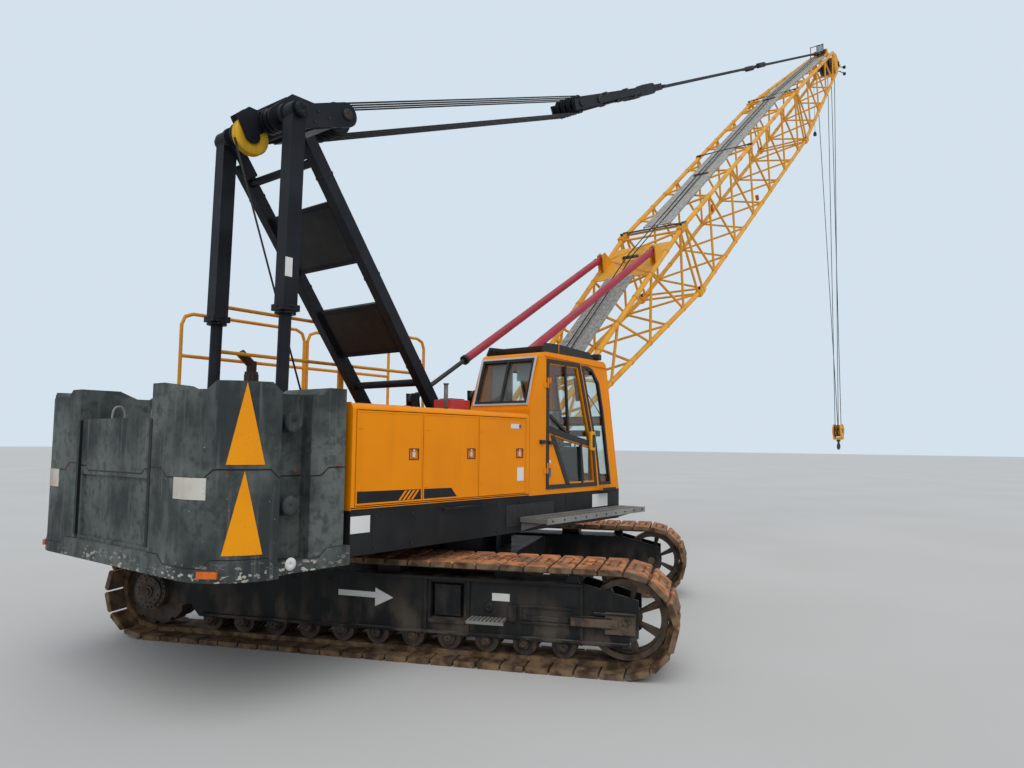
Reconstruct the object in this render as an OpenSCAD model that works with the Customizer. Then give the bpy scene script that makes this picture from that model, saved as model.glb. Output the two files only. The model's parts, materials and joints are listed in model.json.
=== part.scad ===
// Crawler crane with a lattice boom, slewed across its tracks.
// The origin is on the ground at the slewing centre, +X runs under the boom, +Y to the left of it.

/* [Tracks] */
// Turn of the tracks against the upper works, in degrees
track_turn = -66.4; // [-90:0.1:90]
// Distance from sprocket to idler
wheelbase = 4980; // [4500:10:5600]
// Height of a track from ground to top shoe
track_h = 950; // [900:10:1000]
// Distance between the middle lines of the two tracks
track_gauge = 3656; // [3400:2:3900]
// Width of a shoe
shoe_w = 760; // [600:10:900]
// Thickness of a shoe's plate
shoe_t = 48; // [40:1:56]
// Shoes round one track
shoe_count = 56; // [48:1:64]
// Thickness of the links behind the shoes
link_t = 46; // [40:1:52]
// Width of a box frame between the shoes
track_frame_w = 400; // [360:5:440]

/* [Undercarriage] */
// Length of the centre body along the tracks
carbody_l = 1700; // [1500:10:1900]
// Width of a cross beam along the tracks
crossbeam_w = 420; // [360:5:480]
// Radius of the slewing ring
ring_r = 700; // [600:5:760]

/* [Upper works] */
// Width over the side housings
upper_w = 3000; // [2900:10:3100]
// Height of the deck's lower edge
deck_z = 1098; // [1090:1:1140]
// Height of the deck's skirt
skirt_h = 383; // [340:1:400]
// Place of the housings' rear wall
housing_rear = -2730; // [-2800:10:-2650]
// Place of the housings' front wall
housing_front = -190; // [-220:5:-160]
// Front of the left housing, which has no cab before it
left_front = 450; // [400:10:500]
// Height of the handrails above the left housing
rail_h = 1075; // [1000:5:1100]
// Height of a side housing above its skirt
housing_h = 917; // [850:1:980]
// Width of a side housing
housing_w = 820; // [780:5:850]
// Thickness of the housings' sheet steel with its frames
sheet_t = 40; // [30:1:50]
// Gap round a door
door_gap = 7; // [7:0.5:10]

/* [Cab] */
// Length of the cab at its floor
cab_l = 2010; // [1980:5:2050]
// Width of the cab
cab_w = 890; // [860:5:900]
// Height of the cab's roof above the ground
cab_top = 3130; // [3000:5:3200]
// How far the front leans back from floor to roof
cab_lean = 330; // [280:5:360]
// How far the rear wall leans forward above the housing
cab_rear_lean = 205; // [160:5:240]
// Thickness of the cab's walls
cab_wall = 50; // [40:1:60]
// Thickness of the window glass
glass_t = 8; // [6:0.5:12]

/* [Counterweight] */
// Radius of the tail's rounded corners
tail_r = 500; // [400:10:505]
// Place of the tail's flat rear face
tail_x = -4025; // [-4100:5:-4000]
// Half width of the tail behind the recesses, wider than the deck
tail_half = 1620; // [1560:10:1660]
// Half width of the centre blocks
centre_half = 640; // [600:5:700]
// Thickness of the tray
tray_t = 160; // [140:5:170]
// Height of one side block
block_h = 655; // [600:5:700]
// Height of the centre's lower block
centre_low_h = 637; // [600:1:680]
// Height of the centre's upper block
centre_top_h = 407; // [380:1:440]

/* [Boom] */
// Boom angle above the ground, in degrees
boom_angle = 37.1; // [36:0.1:38]
// Place of the boom's foot pin in front of the slewing centre
foot_x = 989; // [950:1:1050]
// Height of the boom's foot pin
foot_z = 1652; // [1630:1:1680]
// Radius of the foot pin
foot_pin_r = 50; // [45:1:55]
// Length of the base section
base_l = 6500; // [6400:10:6600]
// Length of the middle section
insert_l = 9000; // [8800:10:9200]
// Length of the tip section to its sheave pin
tip_l = 6500; // [6300:10:6700]
// Width between the middle lines of the chords
boom_w = 1240; // [1200:5:1280]
// Depth between the middle lines of the chords
boom_d = 1337; // [1300:1:1360]
// Diameter of a chord
chord_d = 90; // [80:1:100]
// Diameter of a lacing tube
lace_d = 48; // [40:1:54]

/* [Gantry] */
// Place of the gantry's top axle
gantry_x = -2760; // [-2800:5:-2700]
// Height of the gantry's top axle
gantry_z = 5200; // [5100:5:5300]
// Half the distance between the gantry's legs
gantry_half = 580; // [560:5:600]
// Place of the front legs' feet
gantry_foot_x = -300; // [-380:5:-290]

/* [Hoist] */
// Height of the hook's lowest point
hook_z = 1950; // [1900:10:2200]
// Diameter of a hoist rope
rope_d = 20; // [16:1:24]
// Radius of the tip sheaves
sheave_r = 260; // [240:5:280]

/* [Backstops] */
// Diameter of a backstop's outer tube
backstop_d = 120; // [110:1:130]
// Diameter of a backstop's rod
backstop_rod_d = 62; // [56:1:68]

/* [Hidden] */
$fn = 48;
eps = 0.3;

// Tracks
loop_r = track_h / 2;
pin_r = loop_r - shoe_t;
link_top = pin_r - link_t;
loop_l = 2 * wheelbase + 2 * PI * pin_r;
pitch = loop_l / shoe_count;
wheel_r = sqrt(pin_r * pin_r - pitch * pitch / 4) - link_t - 1;
side_t = 36;
fork_in = track_frame_w / 2 - side_t;
nose_x = wheelbase / 2 + 110;
nose_slope_x = wheelbase / 2 - 390;
track_y = track_gauge / 2;
frame_top = loop_r + 310;
frame_bottom = 236;
roller_r = 115;
roller_z = track_h - (loop_r + link_top) + roller_r + eps;
roller_count = 11;
roller_step = 371;
roller_x0 = -1794;

// Undercarriage
ring_z = deck_z - 48;

// Upper works
half = upper_w / 2;
deck_top = deck_z + skirt_h;
housing_top = deck_top + housing_h;
inner_y = half - housing_w;
frame_half = 560;
cab_front = housing_front + cab_l;
cab_rear = housing_front + 50;
cab_knee = housing_top + 50;
function cab_front_x(z) = cab_front - cab_lean * (z - deck_top) / (cab_top - deck_top);
function cab_rear_x(z) = housing_front + 5 + cab_rear_lean * max(0, z - cab_knee) / (cab_top - cab_knee);

// Doors of one side housing: place of the rear edge, length
door_l = 805;
door_table = [for (i = [0 : 2]) [housing_rear + 48 + i * (door_l + door_gap), door_l]];
door_z = [deck_top + 40, housing_top - 60];
pivot = [10, 6];
pivot_r = 5;

// Counterweight
// Upright recess in the side: its ends and its floor
recess_x = [-3515, -3150];
recess_y = half - 130;
corner_steps = 12;
tray_z = deck_z - 60;
tray_top = tray_z + tray_t;
stack_front = -2800;
centre_gap = 8;
tray_lip = 8;
tail_frame_x = -2935;
tail_frame_top = deck_z + 290;
centre_front = tail_frame_x - 15;
knob_r = 80;

// Boom
boom_l = base_l + insert_l + tip_l;
foot_half = 455;
foot_t = 76;
ear_off = foot_t / 2 + 25;
join_l = 150;
tip_half_w = 340;
tip_half_d = 330;
head_s = boom_l - 420;
widths = [[0, foot_half], [300, foot_half], [base_l, boom_w / 2], [base_l + insert_l, boom_w / 2], [head_s, tip_half_w]];
depths = [[300, 70], [base_l, boom_d / 2], [base_l + insert_l, boom_d / 2], [head_s, tip_half_d]];
sheave_w = 60;
tip_off = -150;
hook_sheave_r = 170;
tip_axle_r = 45;
pendant_s = boom_l - 500;
pendant_off = 450;
pendant_y = 150;
bridle_y = 215;

// Backstops
stop_s = 5360;
stop_off = 770;
stop_y = 530;
stop_travel = 1040;
stop_ear = 50;
stop_tube_from = 1180;
stop_foot = [-20, 2630];

// Gantry and suspension
gantry_axle_r = 50;
block_l = 1040;
bridle_from = 5900;
bridle_l = 900;
fall_ys = [-162, -54, 54, 162];
block_sheave_r = 150;
bridle_sheave_r = 120;
// How far the bridle hangs below the straight line to the boom's tip
stay_sag = 320;

// A box given by its low and high corners along each axis
module span(x, y, z) {
    translate([x[0], y[0], z[0]])
        cube([x[1] - x[0], y[1] - y[0], z[1] - z[0]]);
}

// A straight bar between two points, with flat sides
module bar(a, b, d, sides = 8) {
    v = b - a;
    l = norm(v);
    translate(a)
        rotate([0, acos(v.z / l), atan2(v.y, v.x)])
            cylinder(h = l, d = d, $fn = sides);
}

// A round rod across the machine, centred on y
module cross_rod(x, z, r, y) {
    translate([x, y[0], z])
        rotate([-90, 0, 0])
            cylinder(h = y[1] - y[0], r = r);
}

// A plate standing along X and Z, its outline drawn in that plane
module side_plate(y, t) {
    translate([0, y + t / 2, 0])
        rotate([90, 0, 0])
            linear_extrude(t)
                children();
}

module both_sides() {
    for (s = [-1, 1])
        scale_side(s) children();
}

module scale_side(s) {
    if (s < 0) children();
    else mirror([0, 1, 0]) children();
}

// Undercarriage, drawn along the tracks and turned under the upper works
module turned() {
    rotate([0, 0, track_turn]) children();
}

// Place of a track pin on its loop, s from the rear of the top run
function loop_at(s) =
    let (w = wheelbase, a = PI * pin_r)
    s < w ? [-w / 2 + s, pin_r] :
    s < w + a ? let (t = 90 - (s - w) / pin_r * 180 / PI) [w / 2 + pin_r * cos(t), pin_r * sin(t)] :
    s < 2 * w + a ? [w / 2 - (s - w - a), -pin_r] :
    let (t = 270 - (s - 2 * w - a) / pin_r * 180 / PI) [-w / 2 + pin_r * cos(t), pin_r * sin(t)];

// Each shoe spans two pins, so round the wheels it lies along a chord
module round_loop() {
    for (i = [0 : shoe_count - 1]) {
        p = loop_at(i * pitch);
        q = loop_at(((i + 1) % shoe_count) * pitch);
        translate((p + q) / 2)
            rotate(atan2(q.y - p.y, q.x - p.x))
                children();
    }
}

// Side view of one shoe on its pin line, its two edges bevelled
module shoe_outline() {
    b = pitch * 0.46;
    bevel = 16;
    polygon([[-b, -2], [-b, shoe_t - bevel], [-b + bevel, shoe_t], [b - bevel, shoe_t], [b, shoe_t - bevel], [b, -2]]);
}

module track() {
    translate([0, -track_y, loop_r]) {
        // Shoe plates, full width
        side_plate(0, shoe_w)
            round_loop()
                shoe_outline();
        // Links behind the shoes
        side_plate(0, 330)
            round_loop()
                translate([-pitch * 0.52, -link_t])
                    square([pitch * 1.04, link_t]);
    }
}

module track_right() { color("saddlebrown") turned() track(); }
module track_left() { color("saddlebrown") turned() scale_side(1) track(); }

// Trims on a frame's outer face: low and high place along it, low and high height, how far they stand out
frame_trims = [
    [-1860, nose_slope_x, frame_top - 25, frame_top, 45],
    [-1900, nose_x - 60, frame_bottom + 22, frame_bottom + 42, 45],
    [560, 588, frame_bottom, frame_top, 26],
    [990, 1018, frame_bottom, frame_top, 26],
    [nose_slope_x - 28, nose_slope_x, frame_bottom, frame_top, 26],
    [1400, 1480, 410, 550, 30],
    [1510, 2010, 545, 562, 22],
    [1510, 2010, 398, 415, 22],
    [1510, 1527, 398, 562, 22],
    [1980, 2360, 400, 500, 34],
    [2200, nose_x - 30, 522, 540, 40],
    [600, 980, 352, 384, 20]
];

// Place of the recess in the outer face, along the frame and upwards
recess = [[620, 960], [390, 730]];

// Side plate of a frame, with its ears for the roller shafts
module frame_side(x0) {
    difference() {
        union() {
            polygon([[x0, 330], [x0 + 90, frame_bottom], [nose_x - 150, frame_bottom], [nose_x, 330], [nose_x, 660],
                     [nose_slope_x, frame_top], [x0 + 160, frame_top], [x0, 640]]);
            for (i = [0 : roller_count - 1]) translate([roller_x0 + i * roller_step, roller_z]) circle(62);
        }
        for (i = [0 : roller_count - 1]) translate([roller_x0 + i * roller_step, roller_z]) circle(31);
        translate([wheelbase / 2, loop_r]) circle(46);
    }
}

module track_frame() {
    x0 = -wheelbase / 2 + 470;
    x1 = wheelbase / 2 - 420;
    y0 = -track_y - track_frame_w / 2;
    difference() {
        union() {
            // Box beam between the side plates, open below over the rollers
            side_plate(-track_y, track_frame_w - 2)
                polygon([[x0, 360], [x0, 640], [x0 + 160, frame_top], [x1, frame_top], [x1, 360]]);
            for (y = [-1, 1])
                side_plate(-track_y + y * (track_frame_w - side_t) / 2, side_t) frame_side(x0);
            // Supports of the upper run
            for (x = [-1150, 150, 1350])
                span([x - 120, x + 120], [-track_y - 120, -track_y + 120], [frame_top - 1, loop_r + link_top - eps]);
            // Forks of the final drive
            for (y = [-1, 1])
                side_plate(-track_y + y * (track_frame_w - side_t) / 2, side_t)
                    difference() {
                        union() {
                            translate([-wheelbase / 2, loop_r]) circle(150);
                            translate([-wheelbase / 2, loop_r - 120]) square([480, 240]);
                        }
                        translate([-wheelbase / 2, loop_r]) circle(46);
                    }
            for (t = frame_trims) span([t[0], t[1]], [y0 - t[4], y0 + 1], [t[2], t[3]]);
            step_tread(y0);
        }
        // Recess in the outer face, with its cover set back
        difference() {
            span(recess[0], [y0 - 1, y0 + 110], recess[1]);
            span([recess[0][0] + 30, recess[0][1] - 50], [y0 + 40, y0 + 111], [recess[1][0] + 20, recess[1][1] - 30]);
        }
    }
}

// Tread of the step on a frame: its outer bar, its two ends and its slats
module step_tread(y0) {
    x = [1030, 1390];
    z = [396, 426];
    reach = 170;
    span(x, [y0 - reach, y0 - reach + 14], z);
    for (e = [x[0], x[1] - 14]) span([e, e + 14], [y0 - reach, y0 + 1], z);
    for (i = [1 : 9]) span([x[0] + i * 35, x[0] + i * 35 + 10], [y0 - reach, y0 + 1], [z[0] + 8, z[1]]);
}

module track_frame_right() { color("dimgray") turned() track_frame(); }
module track_frame_left() { color("dimgray") turned() scale_side(1) track_frame(); }

// Final drives with their toothed wheels
module sprocket() {
    teeth = 12;
    translate([-wheelbase / 2, -track_y, loop_r])
        rotate([90, 0, 0]) {
            translate([0, 0, -130])
                linear_extrude(260)
                    difference() {
                        circle(wheel_r);
                        for (i = [0 : teeth - 1])
                            rotate(i * 360 / teeth)
                                translate([wheel_r + 8, 0])
                                    circle(34);
                    }
            // Hub inside the fork and final drive outside it
            cylinder(h = fork_in - 1, r = 190);
            translate([0, 0, track_frame_w / 2 + 1]) {
                cylinder(h = 70, r = 190);
                cylinder(h = 95, r = 150);
                cylinder(h = 110, r = 60);
            }
            translate([0, 0, -200])
                cylinder(h = 402, r = 45.7);
        }
}

module sprockets() {
    color("dimgray") turned() both_sides() sprocket();
}

module idler() {
    spokes = 7;
    rim_r = wheel_r;
    hub_r = 110;
    translate([wheelbase / 2, -track_y, loop_r])
        rotate([90, 0, 0]) {
            difference() {
                translate([0, 0, -130]) cylinder(h = 260, r = rim_r);
                for (z = [-131, 51]) translate([0, 0, z]) cylinder(h = 80, r = rim_r - 50);
                // Windows between the spokes, wider towards the rim
                translate([0, 0, -61]) linear_extrude(122)
                    for (i = [0 : spokes - 1])
                        rotate(i * 360 / spokes)
                            intersection() {
                                difference() {
                                    circle(rim_r - 62);
                                    circle(hub_r + 20);
                                }
                                polygon([[0, 0], [rim_r, -rim_r * 0.36], [rim_r, rim_r * 0.36]]);
                            }
            }
            translate([0, 0, -130]) cylinder(h = 260, r = hub_r);
            translate([0, 0, -200]) cylinder(h = 400, r = 45.7);
        }
}

module idlers() {
    color("dimgray") turned() both_sides() idler();
}

module roller(i) {
    translate([roller_x0 + i * roller_step, -track_y, roller_z])
        rotate([90, 0, 0]) {
            for (z = [-160, 60]) translate([0, 0, z]) cylinder(h = 100, r = roller_r);
            translate([0, 0, -61]) cylinder(h = 122, r = roller_r - 30);
            translate([0, 0, -205]) cylinder(h = 410, r = 30.7);
            for (z = [-217, 201]) translate([0, 0, z]) cylinder(h = 16, r = 46);
        }
}

module rollers() {
    color("dimgray") turned() both_sides()
        for (i = [0 : roller_count - 1]) roller(i);
}

module carbody() {
    beam_y = track_y - track_frame_w / 2 - eps;
    low = 420;
    high = 800;
    color("dimgray") turned() {
        difference() {
            union() {
                // Cross beams, deeper towards the middle
                for (x = [-1, 1])
                    translate([x * carbody_l / 2, 0, 0])
                        rotate([90, 0, 90])
                            translate([0, 0, -crossbeam_w / 2])
                                linear_extrude(crossbeam_w)
                                    polygon([[-beam_y, low + 60], [-beam_y, high - 60], [-beam_y + 420, high],
                                             [beam_y - 420, high], [beam_y, high - 60], [beam_y, low + 60],
                                             [beam_y - 420, low], [-beam_y + 420, low]]);
                span([-carbody_l / 2, carbody_l / 2], [-ring_r - 100, ring_r + 100], [low + 30, high - 20]);
                translate([0, 0, low + 30]) cylinder(h = ring_z - low - 70, r = ring_r + 60);
                translate([0, 0, ring_z - 60]) cylinder(h = 60, r = ring_r);
                // Gussets from the ring's seat to the beams
                for (i = [0 : 7])
                    rotate(i * 45 + 22.5)
                        span([ring_r, ring_r + 190], [-14, 14], [high - 30, ring_z - 60]);
            }
            // Opening through the middle for the rotating joint
            translate([0, 0, low]) cylinder(h = ring_z, r = 260);
        }
    }
}

// Upper works
module boom_foot_ears() {
    for (s = [-1, 1], e = [-1, 1])
        side_plate(s * foot_half + e * ear_off, 40)
            difference() {
                union() {
                    translate([foot_x, foot_z]) circle(105);
                    polygon([[foot_x - 300, deck_top - 1], [foot_x + 200, deck_top - 1],
                             [foot_x + 90, foot_z + 40], [foot_x - 90, foot_z + 40]]);
                }
                translate([foot_x, foot_z]) circle(foot_pin_r - 1);
            }
    for (s = [-1, 1])
        cross_rod(foot_x, foot_z, foot_pin_r, [s * foot_half - ear_off - 25, s * foot_half + ear_off + 25]);
}

module deck() {
    front = foot_x + 260;
    plate_t = 30;
    color("dimgray") {
        // Centre frame of two deep side plates, a floor and a top plate
        difference() {
            union() {
                span([housing_rear, front], [-frame_half, frame_half], [deck_z, deck_top]);
                span([housing_rear, cab_front], [-half, -frame_half + 1], [deck_z, deck_top]);
                span([housing_rear, front], [frame_half - 1, half], [deck_z, deck_top]);
                translate([0, 0, ring_z + eps]) cylinder(h = deck_z - ring_z, r = ring_r);
            }
            // Space under the side decks, open below
            span([housing_rear + plate_t, cab_front - plate_t], [-half + plate_t, -frame_half - plate_t],
                 [deck_z - 1, deck_top - plate_t]);
            span([housing_rear + plate_t, front - plate_t], [frame_half + plate_t, half - plate_t],
                 [deck_z - 1, deck_top - plate_t]);
            // Middle of the centre frame behind the slewing ring, open below
            span([housing_rear + plate_t, -ring_r - 60], [-frame_half + plate_t, frame_half - plate_t],
                 [deck_z - 1, deck_top - plate_t]);
            translate([0, 0, deck_z - 100]) cylinder(h = 300, r = 250);
        }
        boom_foot_ears();
        // Tail frame that carries the counterweight
        span([tail_frame_x, housing_rear + 1], [-gantry_half - 55, gantry_half + 55], [tray_top + eps, tail_frame_top]);
        // Long handle on the right skirt
        cross_span = [housing_rear + 1120, housing_rear + 1740];
        span(cross_span, [-half - 52, -half - 36], [deck_top - 60, deck_top - 40]);
        for (x = [cross_span[0], cross_span[1] - 16]) span([x, x + 16], [-half - 52, -half + 1], [deck_top - 60, deck_top - 40]);
        // Backstop feet
        for (s = [-1, 1], e = [-1, 1])
            side_plate(s * stop_y + e * stop_ear, 20)
                polygon([[stop_foot[0] - 10, deck_top - 1], [stop_foot[0] + 250, deck_top - 1],
                         [stop_foot[0] + 60, stop_foot[1] + 70], [stop_foot[0] - 60, stop_foot[1] + 70]]);
        for (s = [-1, 1])
            cross_rod(stop_foot[0], stop_foot[1], 30, [s * stop_y - stop_ear - 15, s * stop_y + stop_ear + 15]);
    }
}

// Side housing on the right up to a front, drawn as a shell with its door openings
module housing(doors, front) {
    y0 = -half;
    y1 = -inner_y;
    difference() {
        side_slab(y0, y1, front);
        span([housing_rear + sheet_t, front - sheet_t], [y0 + sheet_t, y1 - sheet_t],
             [deck_top - 1, housing_top - sheet_t]);
        for (d = doors)
            span([d[0] - door_gap, d[0] + d[1] + door_gap], [y0 - 1, y0 + sheet_t + 1],
                 [door_z[0] - door_gap, door_z[1] + door_gap]);
    }
    // Posts behind the joints between the doors
    for (i = [1, 2])
        span([door_table[i][0] - 40, door_table[i][0] + 34], [y0 + sheet_t, y0 + sheet_t + 40],
             [deck_top + eps, housing_top - sheet_t + 1]);
}

// Solid housing block with a rounded outer top edge
module side_slab(y0, y1, front) {
    r = 55;
    translate([housing_rear, 0, 0])
        rotate([90, 0, 90])
            linear_extrude(front - housing_rear)
                union() {
                    translate([y0, deck_top + eps]) square([y1 - y0, housing_h - r]);
                    translate([y0 + r, deck_top + eps]) square([y1 - y0 - r, housing_h]);
                    translate([y0 + r, housing_top - r]) circle(r);
                }
}

module housing_right() {
    color("orange") housing(door_table, housing_front);
}

// Louvred panel between the two left doors
louvre_count = 12;
module louvre_place(i) {
    translate([door_table[1][0] + 90, -half, door_z[0] + 90 + i * 52]) children();
}

module housing_left() {
    louvre_l = door_l - 180;
    color("orange") mirror([0, 1, 0])
        difference() {
            union() {
                housing([door_table[0], door_table[2]], left_front);
                for (i = [0 : louvre_count - 1])
                    louvre_place(i)
                        rotate([90, 0, 90])
                            linear_extrude(louvre_l) polygon([[1, 34], [-14, 10], [-14, 4], [1, 30]]);
            }
            for (i = [0 : louvre_count - 1]) louvre_place(i) span([12, louvre_l - 12], [-1, sheet_t + 1], [4, 24]);
        }
}

module engine() {
    color("gray")
        span([-2100, -700], [inner_y + 130, half - 130], [deck_top + eps, deck_top + 760]);
}

// One housing door, its skin flush with the housing's side
module side_door(d) {
    color("orange")
        difference() {
            span([d[0], d[0] + d[1]], [-half, -half + sheet_t - 4], [door_z[0], door_z[1]]);
            // Dished place of the latch
            span([d[0] + d[1] - 170, d[0] + d[1] - 60], [-half - 1, -half + 12], [deck_top + 430, deck_top + 520]);
        }
    // Pivots at the top and bottom of the rear edge
    color("orange")
        translate([d[0] + pivot[0], -half + pivot[1], door_z[0] - door_gap + eps])
            cylinder(h = door_z[1] - door_z[0] + 2 * door_gap - 2 * eps, r = pivot_r);
    color("silver")
        span([d[0] + d[1] - 140, d[0] + d[1] - 90], [-half + 4, -half + 13], [deck_top + 450, deck_top + 500]);
}

module door_right_rear() { side_door(door_table[0]); }
module door_right_middle() { side_door(door_table[1]); }
module door_right_front() { side_door(door_table[2]); }
module door_left_rear() { mirror([0, 1, 0]) side_door(door_table[0]); }
module door_left_front() { mirror([0, 1, 0]) side_door(door_table[2]); }

// Counterweight
module tail_outline(grow, front) {
    r = tail_r + grow;
    function corner(a, side) = [tail_x + tail_r - r * cos(a), side * (tail_half - tail_r + r * sin(a))];
    step = [for (side = [-1, 1]) [[front, side * (half + grow)], [recess_x[0] + grow, side * (half + grow)],
                                  [recess_x[0] + grow, side * (tail_half + grow)]]];
    turn = 90 / corner_steps;
    polygon(concat(step[0], [for (i = [corner_steps : -1 : 0]) corner(i * turn, -1)],
                   [for (i = [0 : corner_steps]) corner(i * turn, 1)], [step[1][2], step[1][1], step[1][0]]));
}

// Ridges under a side block: place they run from, direction, half width at the bottom
ridge_table = [[-1890, -152, 205], [-3285, -90, 240]];
ridge_run = 3000;
ridge_h = 65;
ridge_slope = 75;

// Both ridges below the height z, grown by a gap where they cut a groove
module ridges(z, gap) {
    top = 2;
    for (r = ridge_table)
        translate([r[0], 0, z])
            rotate([90, 0, r[1] + 90])
                linear_extrude(ridge_run)
                    ridge_outline(r[2] + gap, top, gap);
}

module ridge_outline(w, top, gap) {
    out = ridge_slope * (top + ridge_h) / ridge_h;
    polygon([[-w - out, top], [-w, -ridge_h - gap], [w, -ridge_h - gap], [w + out, top]]);
}

module counterweight_tray() {
    color("darkslategray")
        difference() {
            translate([0, 0, tray_z])
                linear_extrude(tray_t)
                    tail_outline(tray_lip, housing_rear - eps);
            both_sides()
                intersection() {
                    ridges(tray_top, eps);
                    span([tail_x - 100, stack_front + 1], [-tail_half - 100, -centre_half], [tray_z, tray_top + 10]);
                }
        }
}

module counterweight_centre() {
    y = [-centre_half + centre_gap, centre_half - centre_gap];
    joint = tray_top + centre_low_h;
    color("slategray") {
        difference() {
            span([tail_x + 20, centre_front], y, [tray_top, joint - eps]);
            // Sunk panel of the lower block
            span([tail_x, tail_x + 45], [y[0] + 45, y[1] - 45], [tray_top + 30, joint - 75]);
            centre_ridge(joint, eps);
        }
        difference() {
            span([tail_x + 20, centre_front], y, [joint - 60, joint + centre_top_h]);
            difference() {
                span([tail_x, centre_front + 1], [-centre_half, centre_half], [joint - 61, joint]);
                centre_ridge(joint, 0);
            }
        }
        // Lifting handles
        for (s = [-1, 1])
            translate([centre_front - 160, s * 300, joint + centre_top_h - 1]) {
                for (e = [-1, 1]) translate([0, e * 70, 0]) cylinder(h = 120, r = 11);
                translate([0, -80, 110]) rotate([-90, 0, 0]) cylinder(h = 160, r = 11);
            }
    }
}

// Ridge under the upper centre block
module centre_ridge(z, gap) {
    rise = 40;
    w = 480 + gap;
    translate([tail_x - 100, 0, z])
        rotate([90, 0, 90])
            linear_extrude(centre_front - tail_x + 200)
                polygon([[-w - 42, 2], [-w, -rise - gap], [w, -rise - gap], [w + 42, 2]]);
}

module side_footprint() {
    difference() {
        tail_outline(0, stack_front);
        translate([tail_x - 100, -centre_half]) square([2000, half + 2000]);
        translate([recess_x[0], -tail_half - 10]) square([recess_x[1] - recess_x[0], tail_half + 10 - recess_y]);
    }
}

module side_block(z) {
    difference() {
        translate([0, 0, z - ridge_h])
            linear_extrude(block_h + ridge_h - eps)
                side_footprint();
        // Below its seat only the ridges are left
        difference() {
            span([tail_x - 100, stack_front + 100], [-tail_half - 100, 0], [z - ridge_h - 1, z]);
            ridges(z, 0);
        }
        ridges(z + block_h, eps);
    }
    // Lifting stub in the recess
    translate([-3315, -recess_y + 1, z + block_h * 0.55])
        rotate([90, 0, 0])
            cylinder(h = 110, r = knob_r);
}

module counterweight_lower() {
    color("darkslategray") both_sides() side_block(tray_top);
}

module counterweight_upper() {
    color("darkslategray") both_sides() side_block(tray_top + block_h);
}

// Gantry
// Yellow lead sheave behind the axle: x, z and radius, then its place across
lead = [gantry_x - 160, gantry_z - 180, 170];
lead_y = -100;

module gantry_rear() {
    leg_foot_x = gantry_x - 60;
    leg_d = 116;
    box_w = 150;
    collar_z = 3330;
    color("midnightblue") {
        for (s = [-1, 1]) {
            lean = (gantry_x - leg_foot_x) / (gantry_z - tail_frame_top);
            collar_x = leg_foot_x + lean * (collar_z - tail_frame_top);
            // Tube below, box above, with the collar between them
            bar([leg_foot_x, s * gantry_half, tail_frame_top + 20], [collar_x, s * gantry_half, collar_z], leg_d, 16);
            upright([collar_x, s * gantry_half, collar_z - 1], [gantry_x, s * gantry_half, gantry_z], box_w);
            span([collar_x - 95, collar_x + 95], [s * gantry_half - 90, s * gantry_half + 90], [collar_z - 60, collar_z]);
            span([leg_foot_x - 55, leg_foot_x + 55], [s * gantry_half - 55, s * gantry_half + 55],
                 [tail_frame_top + eps, tail_frame_top + 30]);
            side_plate(s * gantry_half, box_w) translate([gantry_x, gantry_z]) circle(95);
        }
        cross_rod(gantry_x, gantry_z, gantry_axle_r, [-gantry_half - 120, gantry_half + 120]);
        // Cross plate behind the centre blocks, with its lug
        cross_x = [leg_foot_x - 15, leg_foot_x + 15];
        span(cross_x, [-gantry_half, gantry_half], [tail_frame_top + eps, deck_z + 1300]);
        span(cross_x, [140, gantry_half], [deck_z + 1299, deck_z + 1390]);
        // Bracket of the lead sheave, clamped on the axle
        for (e = [-1, 1])
            side_plate(lead_y + e * 48, 16)
                difference() {
                    union() {
                        translate([gantry_x, gantry_z]) circle(90);
                        polygon([[gantry_x, gantry_z + 80], [lead[0] - 60, lead[1] + 270], [lead[0] - 190, lead[1] + 150],
                                 [lead[0] - 60, lead[1] - 60], [gantry_x, gantry_z - 80]]);
                        translate([lead[0], lead[1]]) circle(75);
                    }
                    translate([lead[0], lead[1]]) circle(25);
                }
    }
    color("gold") {
        cross_rod(lead[0], lead[1], lead[2], [lead_y - 32, lead_y + 32]);
        cross_rod(lead[0], lead[1], 24.7, [lead_y - 62, lead_y + 62]);
    }
}

// A square upright between two points over each other
module upright(a, b, w) {
    l = norm(b - a);
    translate(a)
        rotate([0, atan2(b.x - a.x, b.z - a.z), 0])
            translate([-w / 2, -w / 2, 0])
                cube([w, w, l]);
}

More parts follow.
